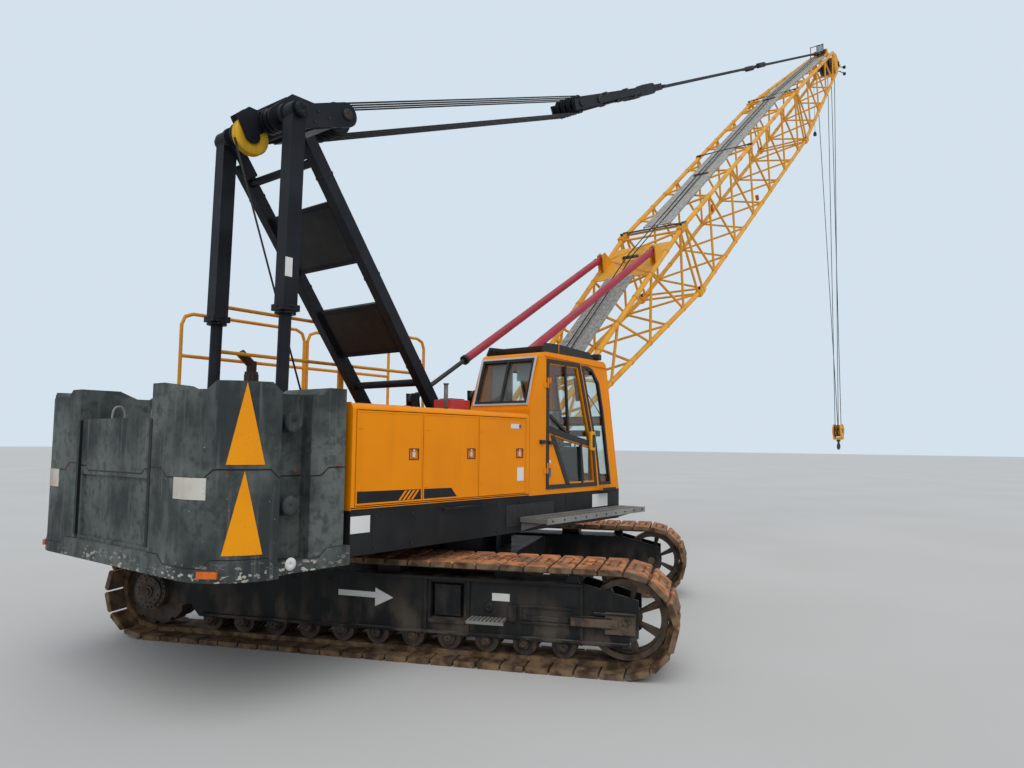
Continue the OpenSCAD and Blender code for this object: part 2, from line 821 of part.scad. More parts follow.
module gantry_front() {
    foot_h = 350;
    foot_z = deck_top + foot_h;
    dir = atan2(foot_z - gantry_z, gantry_foot_x - gantry_x);
    l = norm([gantry_foot_x - gantry_x, foot_z - gantry_z]);
    leg_y = gantry_half - 10;
    leg_w = 110;
    leg_h = 130;
    ear_y = gantry_half - 100;
    color("midnightblue") {
        translate([gantry_x, 0, gantry_z])
            rotate([0, -dir, 0]) {
                for (s = [-1, 1]) {
                    span([260, l], [s * leg_y - leg_w / 2, s * leg_y + leg_w / 2], [-leg_h / 2, leg_h / 2]);
                    // Shoulder between the leg and its ear on the axle
                    span([260, 430], [min(s * ear_y, s * leg_y) - 10, max(s * ear_y, s * leg_y) + 10], [-60, 60]);
                    side_plate(s * ear_y, 40)
                        difference() {
                            union() {
                                circle(110);
                                translate([0, -60]) square([420, 120]);
                            }
                            circle(gantry_axle_r + eps);
                        }
                }
                // Blank plates between the legs, and tubes: low and high distance from the axle
                for (d = [[880, 1560], [2030, 2640]])
                    span(d, [-leg_y, leg_y], [-14, 14]);
                for (d = [480, 3050]) cross_rod(d, 0, 42, [-leg_y, leg_y]);
            }
        for (s = [-1, 1]) {
            span([gantry_foot_x - 90, gantry_foot_x + 90], [s * leg_y - 90, s * leg_y + 90],
                 [deck_top + eps, deck_top + 40]);
            for (e = [-1, 1])
                side_plate(s * leg_y + e * 68, 24)
                    polygon([[gantry_foot_x - 90, deck_top + 10], [gantry_foot_x + 90, deck_top + 10],
                             [gantry_foot_x + 60, foot_z + 60], [gantry_foot_x - 60, foot_z + 60]]);
            cross_rod(gantry_foot_x, foot_z, 32, [s * leg_y - 92, s * leg_y + 92]);
        }
    }
}

// Line from the gantry's axle to the pendant pin at the boom's tip
function boom_point(s, off) = [
    foot_x + s * cos(boom_angle) - off * sin(boom_angle),
    foot_z + s * sin(boom_angle) + off * cos(boom_angle)];
pend_p = boom_point(pendant_s, pendant_off);
stay_angle = atan2(pend_p[1] - gantry_z, pend_p[0] - gantry_x);

// The bridle's axle hangs below that line, so the falls and the pendants meet there at an angle
falls_l = bridle_from + 200;
falls_angle = stay_angle - asin(stay_sag / falls_l);
bridle_p = [gantry_x + falls_l * cos(falls_angle), gantry_z + falls_l * sin(falls_angle)];
pendant_angle = atan2(pend_p[1] - bridle_p[1], pend_p[0] - bridle_p[0]);
stay_l = falls_l + norm(pend_p - bridle_p);

// Falls and gantry block, with X along the falls from the gantry's axle
module on_falls() {
    translate([gantry_x, 0, gantry_z])
        rotate([0, -falls_angle, 0])
            children();
}

// Bridle and pendants, with X along the pendants and the bridle's axle at falls_l
module on_pendants() {
    translate([bridle_p[0], 0, bridle_p[1]])
        rotate([0, -pendant_angle, 0])
            translate([-falls_l, 0, 0])
                children();
}

module gantry_block() {
    sheave_x = block_l - 150;
    color("midnightblue") on_falls() {
        for (y = [-330, 330])
            difference() {
                side_plate(y, 30)
                    union() {
                        circle(125);
                        // Peaked top edge over the axle, level bottom edge
                        polygon([[-120, 20], [-60, 110], [235, 225], [480, 130], [sheave_x, 130], [sheave_x, -130], [420, -110], [0, -120]]);
                        translate([sheave_x, 0]) circle(130);
                    }
                cross_rod(0, 0, gantry_axle_r + eps, [y - 40, y + 40]);
            }
        cross_rod(sheave_x, 0, 40, [-345, 345]);
        for (y = fall_ys) cross_rod(sheave_x, 0, block_sheave_r, [y - 25, y + 25]);
        // Sheaves of the falls that come back over the axle
        for (y = [-260, -190, 100, 220])
            difference() {
                cross_rod(0, 0, block_sheave_r - 30, [y - 22, y + 22]);
                cross_rod(0, 0, gantry_axle_r + eps, [y - 30, y + 30]);
            }
        // Cross plates that join the two side plates
        span([380, 640], [-331, 331], [-125, -105]);
        span([150, 330], [-331, 331], [180, 200]);
        cross_rod(560, 60, 40, [-331, 331]);
    }
}

module suspension_falls() {
    color("black") on_falls()
        for (y = fall_ys, u = [-1, 1])
            bar([block_l - 150, y, u * (block_sheave_r + rope_d / 2 + eps)],
                [falls_l, y, u * (bridle_sheave_r + rope_d / 2 + eps)], rope_d, 8);
}

module pendants() {
    color("midnightblue") on_pendants() {
        // Floating bridle with its sheaves
        for (y = [-bridle_y, bridle_y])
            span([bridle_from, bridle_from + bridle_l], [y - 15, y + 15], [-85, 85]);
        cross_rod(falls_l, 0, 45, [-bridle_y, bridle_y]);
        for (y = fall_ys) cross_rod(falls_l, 0, bridle_sheave_r, [y - 25, y + 25]);
        cross_rod(bridle_from + bridle_l - 90, 0, 45, [-bridle_y, bridle_y]);
        // Pendant ropes
        for (s = [-1, 1]) {
            bar([bridle_from + bridle_l - 60, s * pendant_y, 0], [stay_l - 90, s * pendant_y, 0], 40, 8);
            bar([bridle_from + bridle_l - 60, s * pendant_y, 0], [bridle_from + 3010, s * pendant_y, 0], 68, 8);
            for (x = [bridle_from + 3000, 15600])
                span([x, x + 520], [s * pendant_y - 34, s * pendant_y + 34], [-60, 60]);
            side_plate(s * pendant_y, 40)
                difference() {
                    union() {
                        translate([stay_l, 0]) circle(75);
                        translate([stay_l - 220, -40]) square([220, 80]);
                    }
                    translate([stay_l, 0]) circle(30.05);
                }
        }
    }
}

// Winches between the housings: place, height, radius
drum_table = [[-1750, 330, 230], [-1000, 330, 230], [-250, 330, 230]];
drum_half = 330;

module winch_frame() {
    color("dimgray")
        for (d = drum_table, s = [-1, 1])
            side_plate(s * (drum_half + 45), 30)
                difference() {
                    union() {
                        translate([d[0], deck_top + d[1]]) circle(120);
                        polygon([[d[0] - 200, deck_top + eps], [d[0] + 200, deck_top + eps],
                                 [d[0] + 90, deck_top + d[1] + 60], [d[0] - 90, deck_top + d[1] + 60]]);
                    }
                    translate([d[0], deck_top + d[1]]) circle(40.05);
                }
}

module drum(d) {
    color("gray")
        translate([d[0], 0, deck_top + d[1]])
            rotate([90, 0, 0]) {
                translate([0, 0, -drum_half]) cylinder(h = 2 * drum_half, r = d[2] - 60);
                for (z = [-drum_half, drum_half - 25]) translate([0, 0, z]) cylinder(h = 25, r = d[2] + 50);
                translate([0, 0, -drum_half - 70]) cylinder(h = 2 * drum_half + 140, r = 40);
            }
}

module aux_drum() { drum(drum_table[1]); }
module main_drum() { drum(drum_table[2]); }
module boom_drum() { drum(drum_table[0]); }

// Cab

// Points of an arc, from one angle to another
function arc(x, z, r, from, to, n = 4) = [for (i = [0 : n]) let (a = from + (to - from) * i / n) [x + r * cos(a), z + r * sin(a)]];

// Side view of the cab, drawn smaller by a wall's thickness for its room
module cab_outline(wall) {
    low = deck_top + (wall > 0 ? wall + 10 : eps);
    high = cab_top - wall;
    front_top = cab_front_x(high) - wall;
    rear_top = cab_rear_x(high) + wall;
    r = 100 - wall;
    tilt = atan2(cab_lean, cab_top - deck_top);
    polygon(concat(
        [[cab_rear_x(low) + wall, low], [cab_front_x(low) - wall, low]],
        arc(front_top - r * tan((90 - tilt) / 2) - 4, high - r, r, tilt, 90),
        arc(rear_top + r, high - r, r, 90, 170),
        [[cab_rear_x(cab_knee) + wall, cab_knee]]));
}

// Places on the cab's side: x from its rear wall and z from the deck
module cab_local() {
    translate([cab_rear, deck_top]) children();
}

// Outline of the side door, less a gap all round
door_top = cab_top - 90 - deck_top;
module door_outline(g) {
    cab_local()
        polygon([[290 + g, 70 + g], [1390 - g, 70 + g], [1310 - g, 580], [970 - g, door_top - g], [290 + g, door_top - g]]);
}

// Panes of the door above and below its slanting bar
module door_pane_upper() {
    cab_local() polygon([[345, 744], [1250, 590], [932, door_top - 50], [345, door_top - 50]]);
}

module door_pane_lower() {
    cab_local() polygon([[740, 125], [1335, 125], [1262, 530], [390, 676]]);
}

// Fixed window between the door and the front
module quarter_window() {
    top = door_top - 15;
    cab_local()
        polygon([[1450, 80], [1735, 80], [1545, 1000], [1440, 1350], [1300, top - 30], [1190, top], [1035, top], [1370, 585]]);
}

window_rear = [cab_top - 600, cab_top - 90];
window_y = [-half + 70, -half + cab_w - 70];
front_low = [deck_top + 160, deck_top + 860];
front_high = [deck_top + 930, cab_top - 120];
roof_window = [housing_front + 620, cab_front - 640];

module cab() {
    inner_wall = -half + cab_w - cab_wall / 2;
    color("orange") {
        difference() {
            side_plate(-half + cab_w / 2, cab_w) cab_outline(0);
            side_plate(-half + cab_w / 2, cab_w - 2 * cab_wall) cab_outline(cab_wall);
            side_plate(-half + cab_wall / 2, cab_wall + 4) door_outline(0);
            for (y = [-half + cab_wall / 2, inner_wall]) side_plate(y, cab_wall + 4) quarter_window();
            side_plate(inner_wall, cab_wall + 4) door_pane_upper();
            span([housing_front - 300, housing_front + 300], window_y, window_rear);
            span([cab_front - 420, cab_front + 100], window_y, front_low);
            span([cab_front - 560, cab_front + 100], window_y, front_high);
            span(roof_window, [window_y[0] + 90, window_y[1] - 90], [cab_top - cab_wall - 10, cab_top + 10]);
        }
        for (z = hinge_zs) half_hinge(-1, z);
    }
}

// A pane across the cab between two heights, set in a leaning wall: the wall's outer face at each height
module cross_pane(x0, x1, z) {
    side_plate((window_y[0] + window_y[1]) / 2, window_y[1] - window_y[0])
        polygon([[x0, z[0]], [x0 + glass_t, z[0]], [x1 + glass_t, z[1]], [x1, z[1]]]);
}

module cab_glass() {
    set = cab_wall / 2;
    color("lightgray") {
        for (y = [-half + set, -half + cab_w - set]) side_plate(y, glass_t) quarter_window();
        side_plate(-half + cab_w - set, glass_t) door_pane_upper();
        for (z = [front_low, front_high]) cross_pane(cab_front_x(z[0]) - set, cab_front_x(z[1]) - set, z);
        cross_pane(cab_rear_x(window_rear[0]) + set, cab_rear_x(window_rear[1]) + set, window_rear);
        span(roof_window, [window_y[0] + 90, window_y[1] - 90], [cab_top - set, cab_top - set + glass_t]);
    }
}

module cab_guard() {
    x = [cab_rear_x(cab_top) + 60, cab_front_x(cab_top) - 380];
    y = [-half + 20, -half + cab_w - 20];
    rise = 120;
    slats = 9;
    color("black") {
        // Side plates with sloping ends, and the slats between them
        for (s = [y[0] + 10, y[1] - 10])
            side_plate(s, 20)
                polygon([[x[0], cab_top + eps], [x[1] + 120, cab_top + eps], [x[1], cab_top + rise - 30],
                         [x[0] + 320, cab_top + rise], [x[0] + 60, cab_top + rise - 10]]);
        for (i = [0 : slats - 1])
            span([x[0] + 70 + i * (x[1] - x[0] - 160) / (slats - 1), x[0] + 110 + i * (x[1] - x[0] - 160) / (slats - 1)],
                 y, [cab_top + rise - 62, cab_top + rise - 40]);
        span([x[1] - 20, x[1] + 20], y, [cab_top + eps, cab_top + rise - 45]);
    }
}

module cab_seat() {
    sx = cab_rear + 830;
    sy = -half + cab_w / 2;
    floor_z = deck_top + cab_wall + 10 + eps;
    color("black") {
        span([sx - 120, sx + 200], [sy - 150, sy + 150], [floor_z, deck_top + 340]);
        span([sx - 200, sx + 280], [sy - 240, sy + 240], [deck_top + 339, deck_top + 460]);
        span([sx - 250, sx - 130], [sy - 230, sy + 230], [deck_top + 420, deck_top + 1060]);
        span([sx - 230, sx - 150], [sy - 130, sy + 130], [deck_top + 1059, deck_top + 1240]);
        // Consoles on both sides
        for (s = [-1, 1])
            span([sx - 160, sx + 330], [sy + s * 310 - 65, sy + s * 310 + 65], [floor_z, deck_top + 600]);
    }
}

// Half hinges: knuckle and leaf on the side to which dir points
hinge_x = cab_rear + 290 + door_gap / 2;
hinge_y = -half - 12;
hinge_zs = [deck_top + 240, cab_top - 420];
module half_hinge(dir, z) {
    translate([hinge_x, hinge_y, z]) {
        cylinder(h = 60 - eps, r = 10);
        translate([dir > 0 ? 0 : -70, 4, 0]) cube([70, 8, 60 - eps]);
    }
}

module cab_door() {
    color("orange") {
        for (z = hinge_zs) half_hinge(1, z + 60);
        side_plate(-half + cab_wall / 2, cab_wall)
            difference() {
                door_outline(door_gap);
                door_pane_upper();
                door_pane_lower();
            }
    }
}

module handrail(points) {
    for (i = [0 : len(points) - 2]) bar(points[i], points[i + 1], 40, 8);
}

module handrails() {
    top = housing_top + rail_h;
    mid = housing_top + rail_h * 0.555;
    base = housing_top + eps;
    bend = 130;
    soft = bend * 0.29;
    split = housing_rear + 1685;
    stretches = [[housing_rear + 25, split - 25], [split + 25, left_front - 65]];
    color("gold")
        for (y = [inner_y + 60, half - 60], s = stretches) {
            handrail([[s[0], y, base], [s[0], y, top - bend], [s[0] + soft, y, top - soft], [s[0] + bend, y, top],
                      [s[1] - bend, y, top], [s[1] - soft, y, top - soft], [s[1], y, top - bend], [s[1], y, base]]);
            handrail([[s[0], y, mid], [s[1], y, mid]]);
        }
}

module catwalk() {
    x = [housing_front - 160, cab_front + 40];
    y = [-half - 360, -half - eps];
    z = [deck_z + 110, deck_z + 160];
    bars = 26;
    pitch_x = (x[1] - x[0] - 60) / bars;
    color("dimgray") {
        difference() {
            span(x, y, z);
            for (i = [0 : bars - 1], h = [0, 1])
                span([x[0] + 40 + i * pitch_x, x[0] + 20 + (i + 1) * pitch_x],
                     [y[0] + 30 + h * 160, y[0] + 170 + h * 160], [z[0] - 1, z[1] + 1]);
        }
        // Brackets to the skirt
        for (b = [x[0] + 30, (x[0] + x[1]) / 2, x[1] - 30])
            translate([b - 8, 0, 0])
                rotate([90, 0, 90])
                    linear_extrude(16)
                        polygon([[y[1], z[0] + 1], [y[1], deck_z + 10], [y[0] + 60, z[0] + 1]]);
    }
}

module exhaust() {
    x = -2100;
    y = inner_y + 320;
    r = 55;
    bend = 50;
    rise = 560;
    color("dimgray") {
        translate([x, y, housing_top + eps]) cylinder(h = 60, r = r + 30);
        translate([x, y, housing_top + eps]) cylinder(h = rise, r = r);
        // Bent end, its mouth turned to the rear
        translate([x, y, housing_top + rise - 40])
            rotate([0, -bend, 0])
                cylinder(h = 190, r = r - 4);
    }
}

module lamps() {
    // On the middle of one flat of the tray's rounded corner
    lamp_turn = 4.5 * 90 / corner_steps;
    flat = (tail_r + tray_lip) * cos(45 / corner_steps);
    color("orangered")
        both_sides()
            translate([tail_x + tail_r, tail_r - tail_half, 0])
                rotate([0, 0, 180 + lamp_turn])
                    span([flat + eps, flat + 22], [-75, 75], [tray_z + 35, tray_z + 85]);
}

// Boom, drawn from its foot pin along X and raised about it
module raised() {
    translate([foot_x, 0, foot_z])
        rotate([0, -boom_angle, 0])
            children();
}

function corner(s, y, z) = [s, y * lookup(s, widths), z * lookup(s, depths)];

// One section of the boom between two places: chords, end frames and zigzag lacing on all four faces
module lattice(s0, s1, legs) {
    for (y = [-1, 1], z = [-1, 1]) bar(corner(s0, y, z), corner(s1, y, z), chord_d, 12);
    a = s0 + 60;
    b = s1 - 60;
    step = (b - a) / legs;
    for (s = [a, b]) {
        for (z = [-1, 1]) bar(corner(s, -1, z), corner(s, 1, z), lace_d, 6);
        for (y = [-1, 1]) bar(corner(s, y, -1), corner(s, y, 1), lace_d, 6);
    }
    for (i = [0 : legs - 1]) {
        u = i % 2 == 0 ? 1 : -1;
        for (z = [-1, 1]) bar(corner(a + i * step, -u, z), corner(a + (i + 1) * step, u, z), lace_d, 6);
        for (y = [-1, 1]) bar(corner(a + i * step, y, u), corner(a + (i + 1) * step, y, -u), lace_d, 6);
    }
}

// A plate or a walk on the boom's back between two places, its height above the chords' middle lines
module on_back(s0, s1, half_w, low, t) {
    side_plate(0, 2 * half_w)
        polygon([[s0, lookup(s0, depths) + low], [s1, lookup(s1, depths) + low],
                 [s1, lookup(s1, depths) + low + t], [s0, lookup(s0, depths) + low + t]]);
}

// Square connectors at a section's end
module connectors(s, back) {
    for (y = [-1, 1], z = [-1, 1]) {
        c = corner(s, y, z);
        span([back ? s - join_l : s, back ? s : s + join_l], [c.y - 55, c.y + 55], [c.z - 55, c.z + 55]);
    }
}

module boom_base() {
    color("gold") raised() {
        lattice(420, base_l - 60, 8);
        connectors(base_l, true);
        for (s = [-1, 1])
            side_plate(s * foot_half, foot_t)
                difference() {
                    union() {
                        circle(100);
                        polygon([[0, -80], [0, 80], [560, 120], [560, -120]]);
                    }
                    circle(foot_pin_r + 0.05);
                }
        bar([520, -foot_half, 0], [520, foot_half, 0], 110, 8);
        // Ears for the backstops
        for (s = [-1, 1], e = [-1, 1])
            side_plate(s * stop_y + e * stop_ear, 20)
                polygon([[stop_s - 200, lookup(stop_s - 200, depths)], [stop_s + 200, lookup(stop_s + 200, depths)],
                         [stop_s + 60, stop_off + 70], [stop_s - 60, stop_off + 70]]);
        // Plate on the back between the ears
        on_back(stop_s - 480, stop_s + 640, lookup(stop_s - 480, widths) - 10, -6, 14);
    }
}

module boom_insert() {
    color("gold") raised() {
        lattice(base_l + 60, base_l + insert_l - 60, 12);
        connectors(base_l, false);
        connectors(base_l + insert_l, true);
    }
}

module boom_tip() {
    color("gold") raised() {
        lattice(base_l + insert_l + 60, head_s, 8);
        connectors(base_l + insert_l, false);
        // Head plates that carry the sheave axle
        for (y = [-1, 1])
            side_plate(y * tip_half_w, 40)
                union() {
                    translate([boom_l, tip_off]) circle(130);
                    polygon([[head_s - 100, -tip_half_d - 40], [head_s - 100, tip_half_d + 40],
                             [boom_l - 60, 200], [boom_l + 120, tip_off + 60], [boom_l + 60, tip_off - 110]]);
                }
        cross_rod(boom_l, tip_off, tip_axle_r, [-tip_half_w - 50, tip_half_w + 50]);
        // Pendant lugs
        for (y = [-1, 1], e = [-1, 1])
            side_plate(y * pendant_y + e * 38, 24)
                difference() {
                    polygon([[pendant_s - 130, tip_half_d - 20], [pendant_s + 130, tip_half_d - 20],
                             [pendant_s + 60, pendant_off + 70], [pendant_s - 60, pendant_off + 70]]);
                    translate([pendant_s, pendant_off]) circle(29);
                }
        for (y = [-1, 1])
            cross_rod(pendant_s, pendant_off, 30, [y * pendant_y - 55, y * pendant_y + 55]);
        span([pendant_s - 130, pendant_s + 130], [-tip_half_w, tip_half_w], [tip_half_d - 40, tip_half_d]);
    }
}

// Stretches of the walkway on the back: low and high place
walk_table = [[2300, stop_s - 500], [base_l + 250, base_l + insert_l - 20], [base_l + insert_l + 20, head_s - 700]];
walk_half = 280;
module boom_walkway() {
    rest = lace_d / 2 + eps;
    bar_step = 300;
    color("silver") raised()
        for (w = walk_table) {
            s0 = w[0];
            s1 = w[1];
            on_rails(s0, s1, rest);
            for (s = [s0 + 20 : bar_step : s1 - 60]) on_back(s, s + 30, walk_half - 6, rest + 4, 20);
        }
}

// The walkway's five long bars
module on_rails(s0, s1, rest) {
    for (y = [-1, -0.5, 0, 0.5, 1])
        translate([0, y * (walk_half - 12), 0]) on_back(s0, s1, 12, rest, 30);
}

module tip_sheaves() {
    color("dimgray") raised()
        translate([boom_l, 0, tip_off])
            rotate([90, 0, 0])
                difference() {
                    union() {
                        for (y = [-165, -55, 55, 165]) translate([0, 0, y - sheave_w / 2]) cylinder(h = sheave_w, r = sheave_r);
                        translate([0, 0, -tip_half_w + 30]) cylinder(h = 2 * tip_half_w - 60, r = 75);
                    }
                    translate([0, 0, -400]) cylinder(h = 800, r = tip_axle_r + 0.05);
                }
}

// Backstops
stop_p = boom_point(stop_s, stop_off);
stop_angle = atan2(stop_p[1] - stop_foot[1], stop_p[0] - stop_foot[0]);
stop_l = norm([stop_p[0] - stop_foot[0], stop_p[1] - stop_foot[1]]);

module on_stop(s) {
    translate([stop_foot[0], s * stop_y, stop_foot[1]])
        rotate([0, -stop_angle, 0])
            children();
}

module backstop_rods() {
    color("dimgray")
        for (s = [-1, 1]) on_stop(s) {
            difference() {
                union() {
                    side_plate(0, 56) circle(62);
                    translate([0, 0, 0]) rotate([0, 90, 0]) cylinder(h = stop_l - 520 - stop_travel, d = backstop_rod_d);
                }
                cross_rod(0, 0, 30.05, [-40, 40]);
            }
        }
}

module backstop_tubes() {
    color("crimson")
        for (s = [-1, 1]) on_stop(s) {
            difference() {
                translate([stop_tube_from, 0, 0]) rotate([0, 90, 0]) cylinder(h = stop_l - 240 - stop_tube_from, d = backstop_d);
                translate([stop_tube_from - 1, 0, 0]) rotate([0, 90, 0])
                    cylinder(h = stop_l - 500 - stop_tube_from, d = backstop_rod_d + 2 * eps);
            }
            side_plate(0, 50) translate([stop_l, 0]) circle(62);
            translate([stop_l - 250, -25, -40]) cube([230, 50, 80]);
        }
}

// Hoist
tip_p = boom_point(boom_l, tip_off);
block_top = hook_z + 850;
line_x = tip_p[0] + sheave_r + rope_d / 2 + eps;
sheave_z = block_top - 230;

// Four falls leave the front of the tip sheaves and reach both sides of the block's two sheaves
module hoist_rope() {
    color("black")
        for (f = [[-165, -1, -48], [-55, 1, -48], [55, -1, 48], [165, 1, 48]])
            bar([line_x + f[1] * (hook_sheave_r + rope_d / 2 + eps), f[2], sheave_z],
                [line_x, f[0], tip_p[1]], rope_d, 8);
}

module hook_block() {
    low = block_top - 520;
    color("gold") {
        // Cheeks with rounded tops
        for (y = [-1, 1])
            side_plate(y * 115, 40)
                union() {
                    translate([line_x, sheave_z]) circle(hook_sheave_r + 45);
                    polygon([[line_x - hook_sheave_r - 40, sheave_z + 20], [line_x - 90, low], [line_x + 90, low],
                             [line_x + hook_sheave_r + 40, sheave_z + 20]]);
                }
        cross_rod(line_x, sheave_z, 40, [-150, 150]);
        for (y = [-48, 48]) cross_rod(line_x, sheave_z, hook_sheave_r, [y - 28, y + 28]);
        span([line_x - 90, line_x + 90], [-134, 134], [low, low + 80]);
    }
}

module hook() {
    z0 = block_top - 520;
    bowl = 80;
    stock = 36;
    mouth = 55;
    centre_z = hook_z + bowl + stock;
    color("dimgray")
        translate([line_x, 0, 0]) {
            translate([0, 0, centre_z + bowl - 10]) cylinder(h = z0 - eps - centre_z - bowl + 10, r = stock - 3);
            translate([0, 0, z0 - 60]) cylinder(h = 60 - eps, r = 62);
            // Bowl from the shank round to the tip
            translate([0, 0, centre_z])
                rotate([90, 0, 0])
                    rotate([0, 0, 90 + mouth]) {
                        rotate_extrude(angle = 360 - mouth) translate([bowl, 0]) circle(stock);
                        // Tip, narrower towards its end
                        translate([bowl, 6, 0]) rotate([90, 0, -12]) cylinder(h = 66, r1 = stock - 3, r2 = 14);
                    }
        }
}

carbody();
track_frame_right();
track_frame_left();
track_right();
track_left();
sprockets();
idlers();
rollers();
deck();
housing_right();
housing_left();
engine();
door_right_rear();
door_right_middle();
door_right_front();
door_left_rear();
door_left_front();
counterweight_tray();
counterweight_centre();
counterweight_lower();
counterweight_upper();
gantry_rear();
gantry_front();
gantry_block();
suspension_falls();
winch_frame();
main_drum();
aux_drum();
boom_drum();
cab();
cab_glass();
cab_guard();
cab_seat();
cab_door();
handrails();
catwalk();
exhaust();
lamps();
boom_base();
boom_insert();
boom_tip();
boom_walkway();
tip_sheaves();
pendants();
backstop_rods();
backstop_tubes();
hoist_rope();
hook_block();
hook();
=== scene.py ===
import json
import math

import bmesh
import bpy
from mathutils import Matrix, Vector


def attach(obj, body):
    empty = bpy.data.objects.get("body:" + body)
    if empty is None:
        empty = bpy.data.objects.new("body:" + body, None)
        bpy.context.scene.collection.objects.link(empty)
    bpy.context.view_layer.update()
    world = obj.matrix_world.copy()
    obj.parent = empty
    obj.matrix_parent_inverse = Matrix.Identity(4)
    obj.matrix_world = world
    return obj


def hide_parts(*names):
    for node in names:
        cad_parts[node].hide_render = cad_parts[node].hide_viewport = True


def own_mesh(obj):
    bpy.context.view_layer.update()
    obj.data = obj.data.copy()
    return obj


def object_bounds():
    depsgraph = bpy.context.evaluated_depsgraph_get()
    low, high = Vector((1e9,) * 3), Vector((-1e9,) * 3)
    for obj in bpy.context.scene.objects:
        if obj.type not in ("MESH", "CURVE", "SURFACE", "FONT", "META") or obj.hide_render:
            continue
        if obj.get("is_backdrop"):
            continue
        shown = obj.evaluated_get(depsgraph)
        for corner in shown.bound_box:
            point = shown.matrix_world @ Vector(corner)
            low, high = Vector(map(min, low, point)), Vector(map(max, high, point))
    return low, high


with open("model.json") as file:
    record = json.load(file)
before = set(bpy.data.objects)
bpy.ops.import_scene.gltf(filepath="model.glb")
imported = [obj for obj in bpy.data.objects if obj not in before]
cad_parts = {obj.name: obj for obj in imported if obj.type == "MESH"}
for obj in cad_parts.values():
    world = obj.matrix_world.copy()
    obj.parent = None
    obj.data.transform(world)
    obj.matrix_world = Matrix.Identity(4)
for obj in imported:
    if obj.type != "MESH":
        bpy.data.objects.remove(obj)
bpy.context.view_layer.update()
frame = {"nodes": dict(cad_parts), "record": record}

nodes = frame["nodes"]

# Directions, and sizes shared with the solids, in metres
ALONG, ACROSS, OUT, UP, DOWN = (1, 0, 0), (0, 1, 0), (0, -1, 0), (0, 0, 1), (0, 0, -1)
DECK_Z, DECK_TOP, HOUSING_TOP = 1.098, 1.481, 2.398
HALF, HOUSING_REAR, HOUSING_FRONT, LEFT_FRONT, INNER_Y = 1.5, -2.73, -0.19, 0.45, 0.68
WALL = -HALF
CAB_REAR, CAB_FRONT, CAB_TOP, CAB_IN = -0.14, 1.82, 3.13, -0.61
TRACK_Y, FRAME_FACE, LOOP_R, WHEELBASE = 1.828, 2.028, 0.475, 4.98
FOOT, AXLE, LEG_FOOT = Vector((0.989, 0, 1.652)), Vector((-2.76, 0, 5.2)), Vector((-0.3, 0, 1.831))
BOOM_ANGLE, TRACK_TURN = math.radians(37.1), math.radians(-66.4)
TIP_X, TIP_Z = 22.0, -0.15
DRUMS = (("boom_drum", -1.75), ("aux_drum", -1.0), ("main_drum", -0.25))
DRUM_Z, DRUM_R = DECK_TOP + 0.33, 0.17
BOOM_JOINTS = (6.5, 15.5)
# Rope's radius and how far its middle lies off a sheave, bolt heads, how far tags sink in, innermost radius
ROPE_R, ROPE_OFF, BOLT_H, SUNK, CORE = 0.010, 0.0103, 0.012, 0.001, 0.002


# Local frames of the leaning groups
def leaning(origin, angle):
    return Matrix.Translation(origin) @ Matrix.Rotation(-angle, 4, "Y")


BOOM = leaning(FOOT, BOOM_ANGLE)
PENDANT_PIN = BOOM @ Vector((21.5, 0, 0.45))
FALLS_L, STAY_SAG = 6.1, 0.32
STAY = PENDANT_PIN - AXLE
FALLS = leaning(AXLE, math.atan2(STAY.z, STAY.x) - math.asin(STAY_SAG / FALLS_L))
BRIDLE = FALLS @ Vector((FALLS_L, 0, 0))
PENDANT = PENDANT_PIN - BRIDLE
PENDANTS = leaning(BRIDLE, math.atan2(PENDANT.z, PENDANT.x))
FRONT_LEG = leaning(AXLE, math.atan2(LEG_FOOT.z - AXLE.z, LEG_FOOT.x - AXLE.x))
TRACKS = Matrix.Rotation(TRACK_TURN, 4, "Z")
TIP = BOOM @ Vector((TIP_X, 0, TIP_Z))
LINE_X, HOOK_Z = TIP.x + 0.2703, 1.95
LEFT = Matrix.Diagonal((1, -1, 1, 1))
SIDES = (("right", Matrix()), ("left", LEFT))

# Materials by name
LOOK = {}
DUST, SPLASH, GRIT = (0.30, 0.27, 0.22), (0.155, 0.122, 0.092), (0.035, 0.028, 0.022)


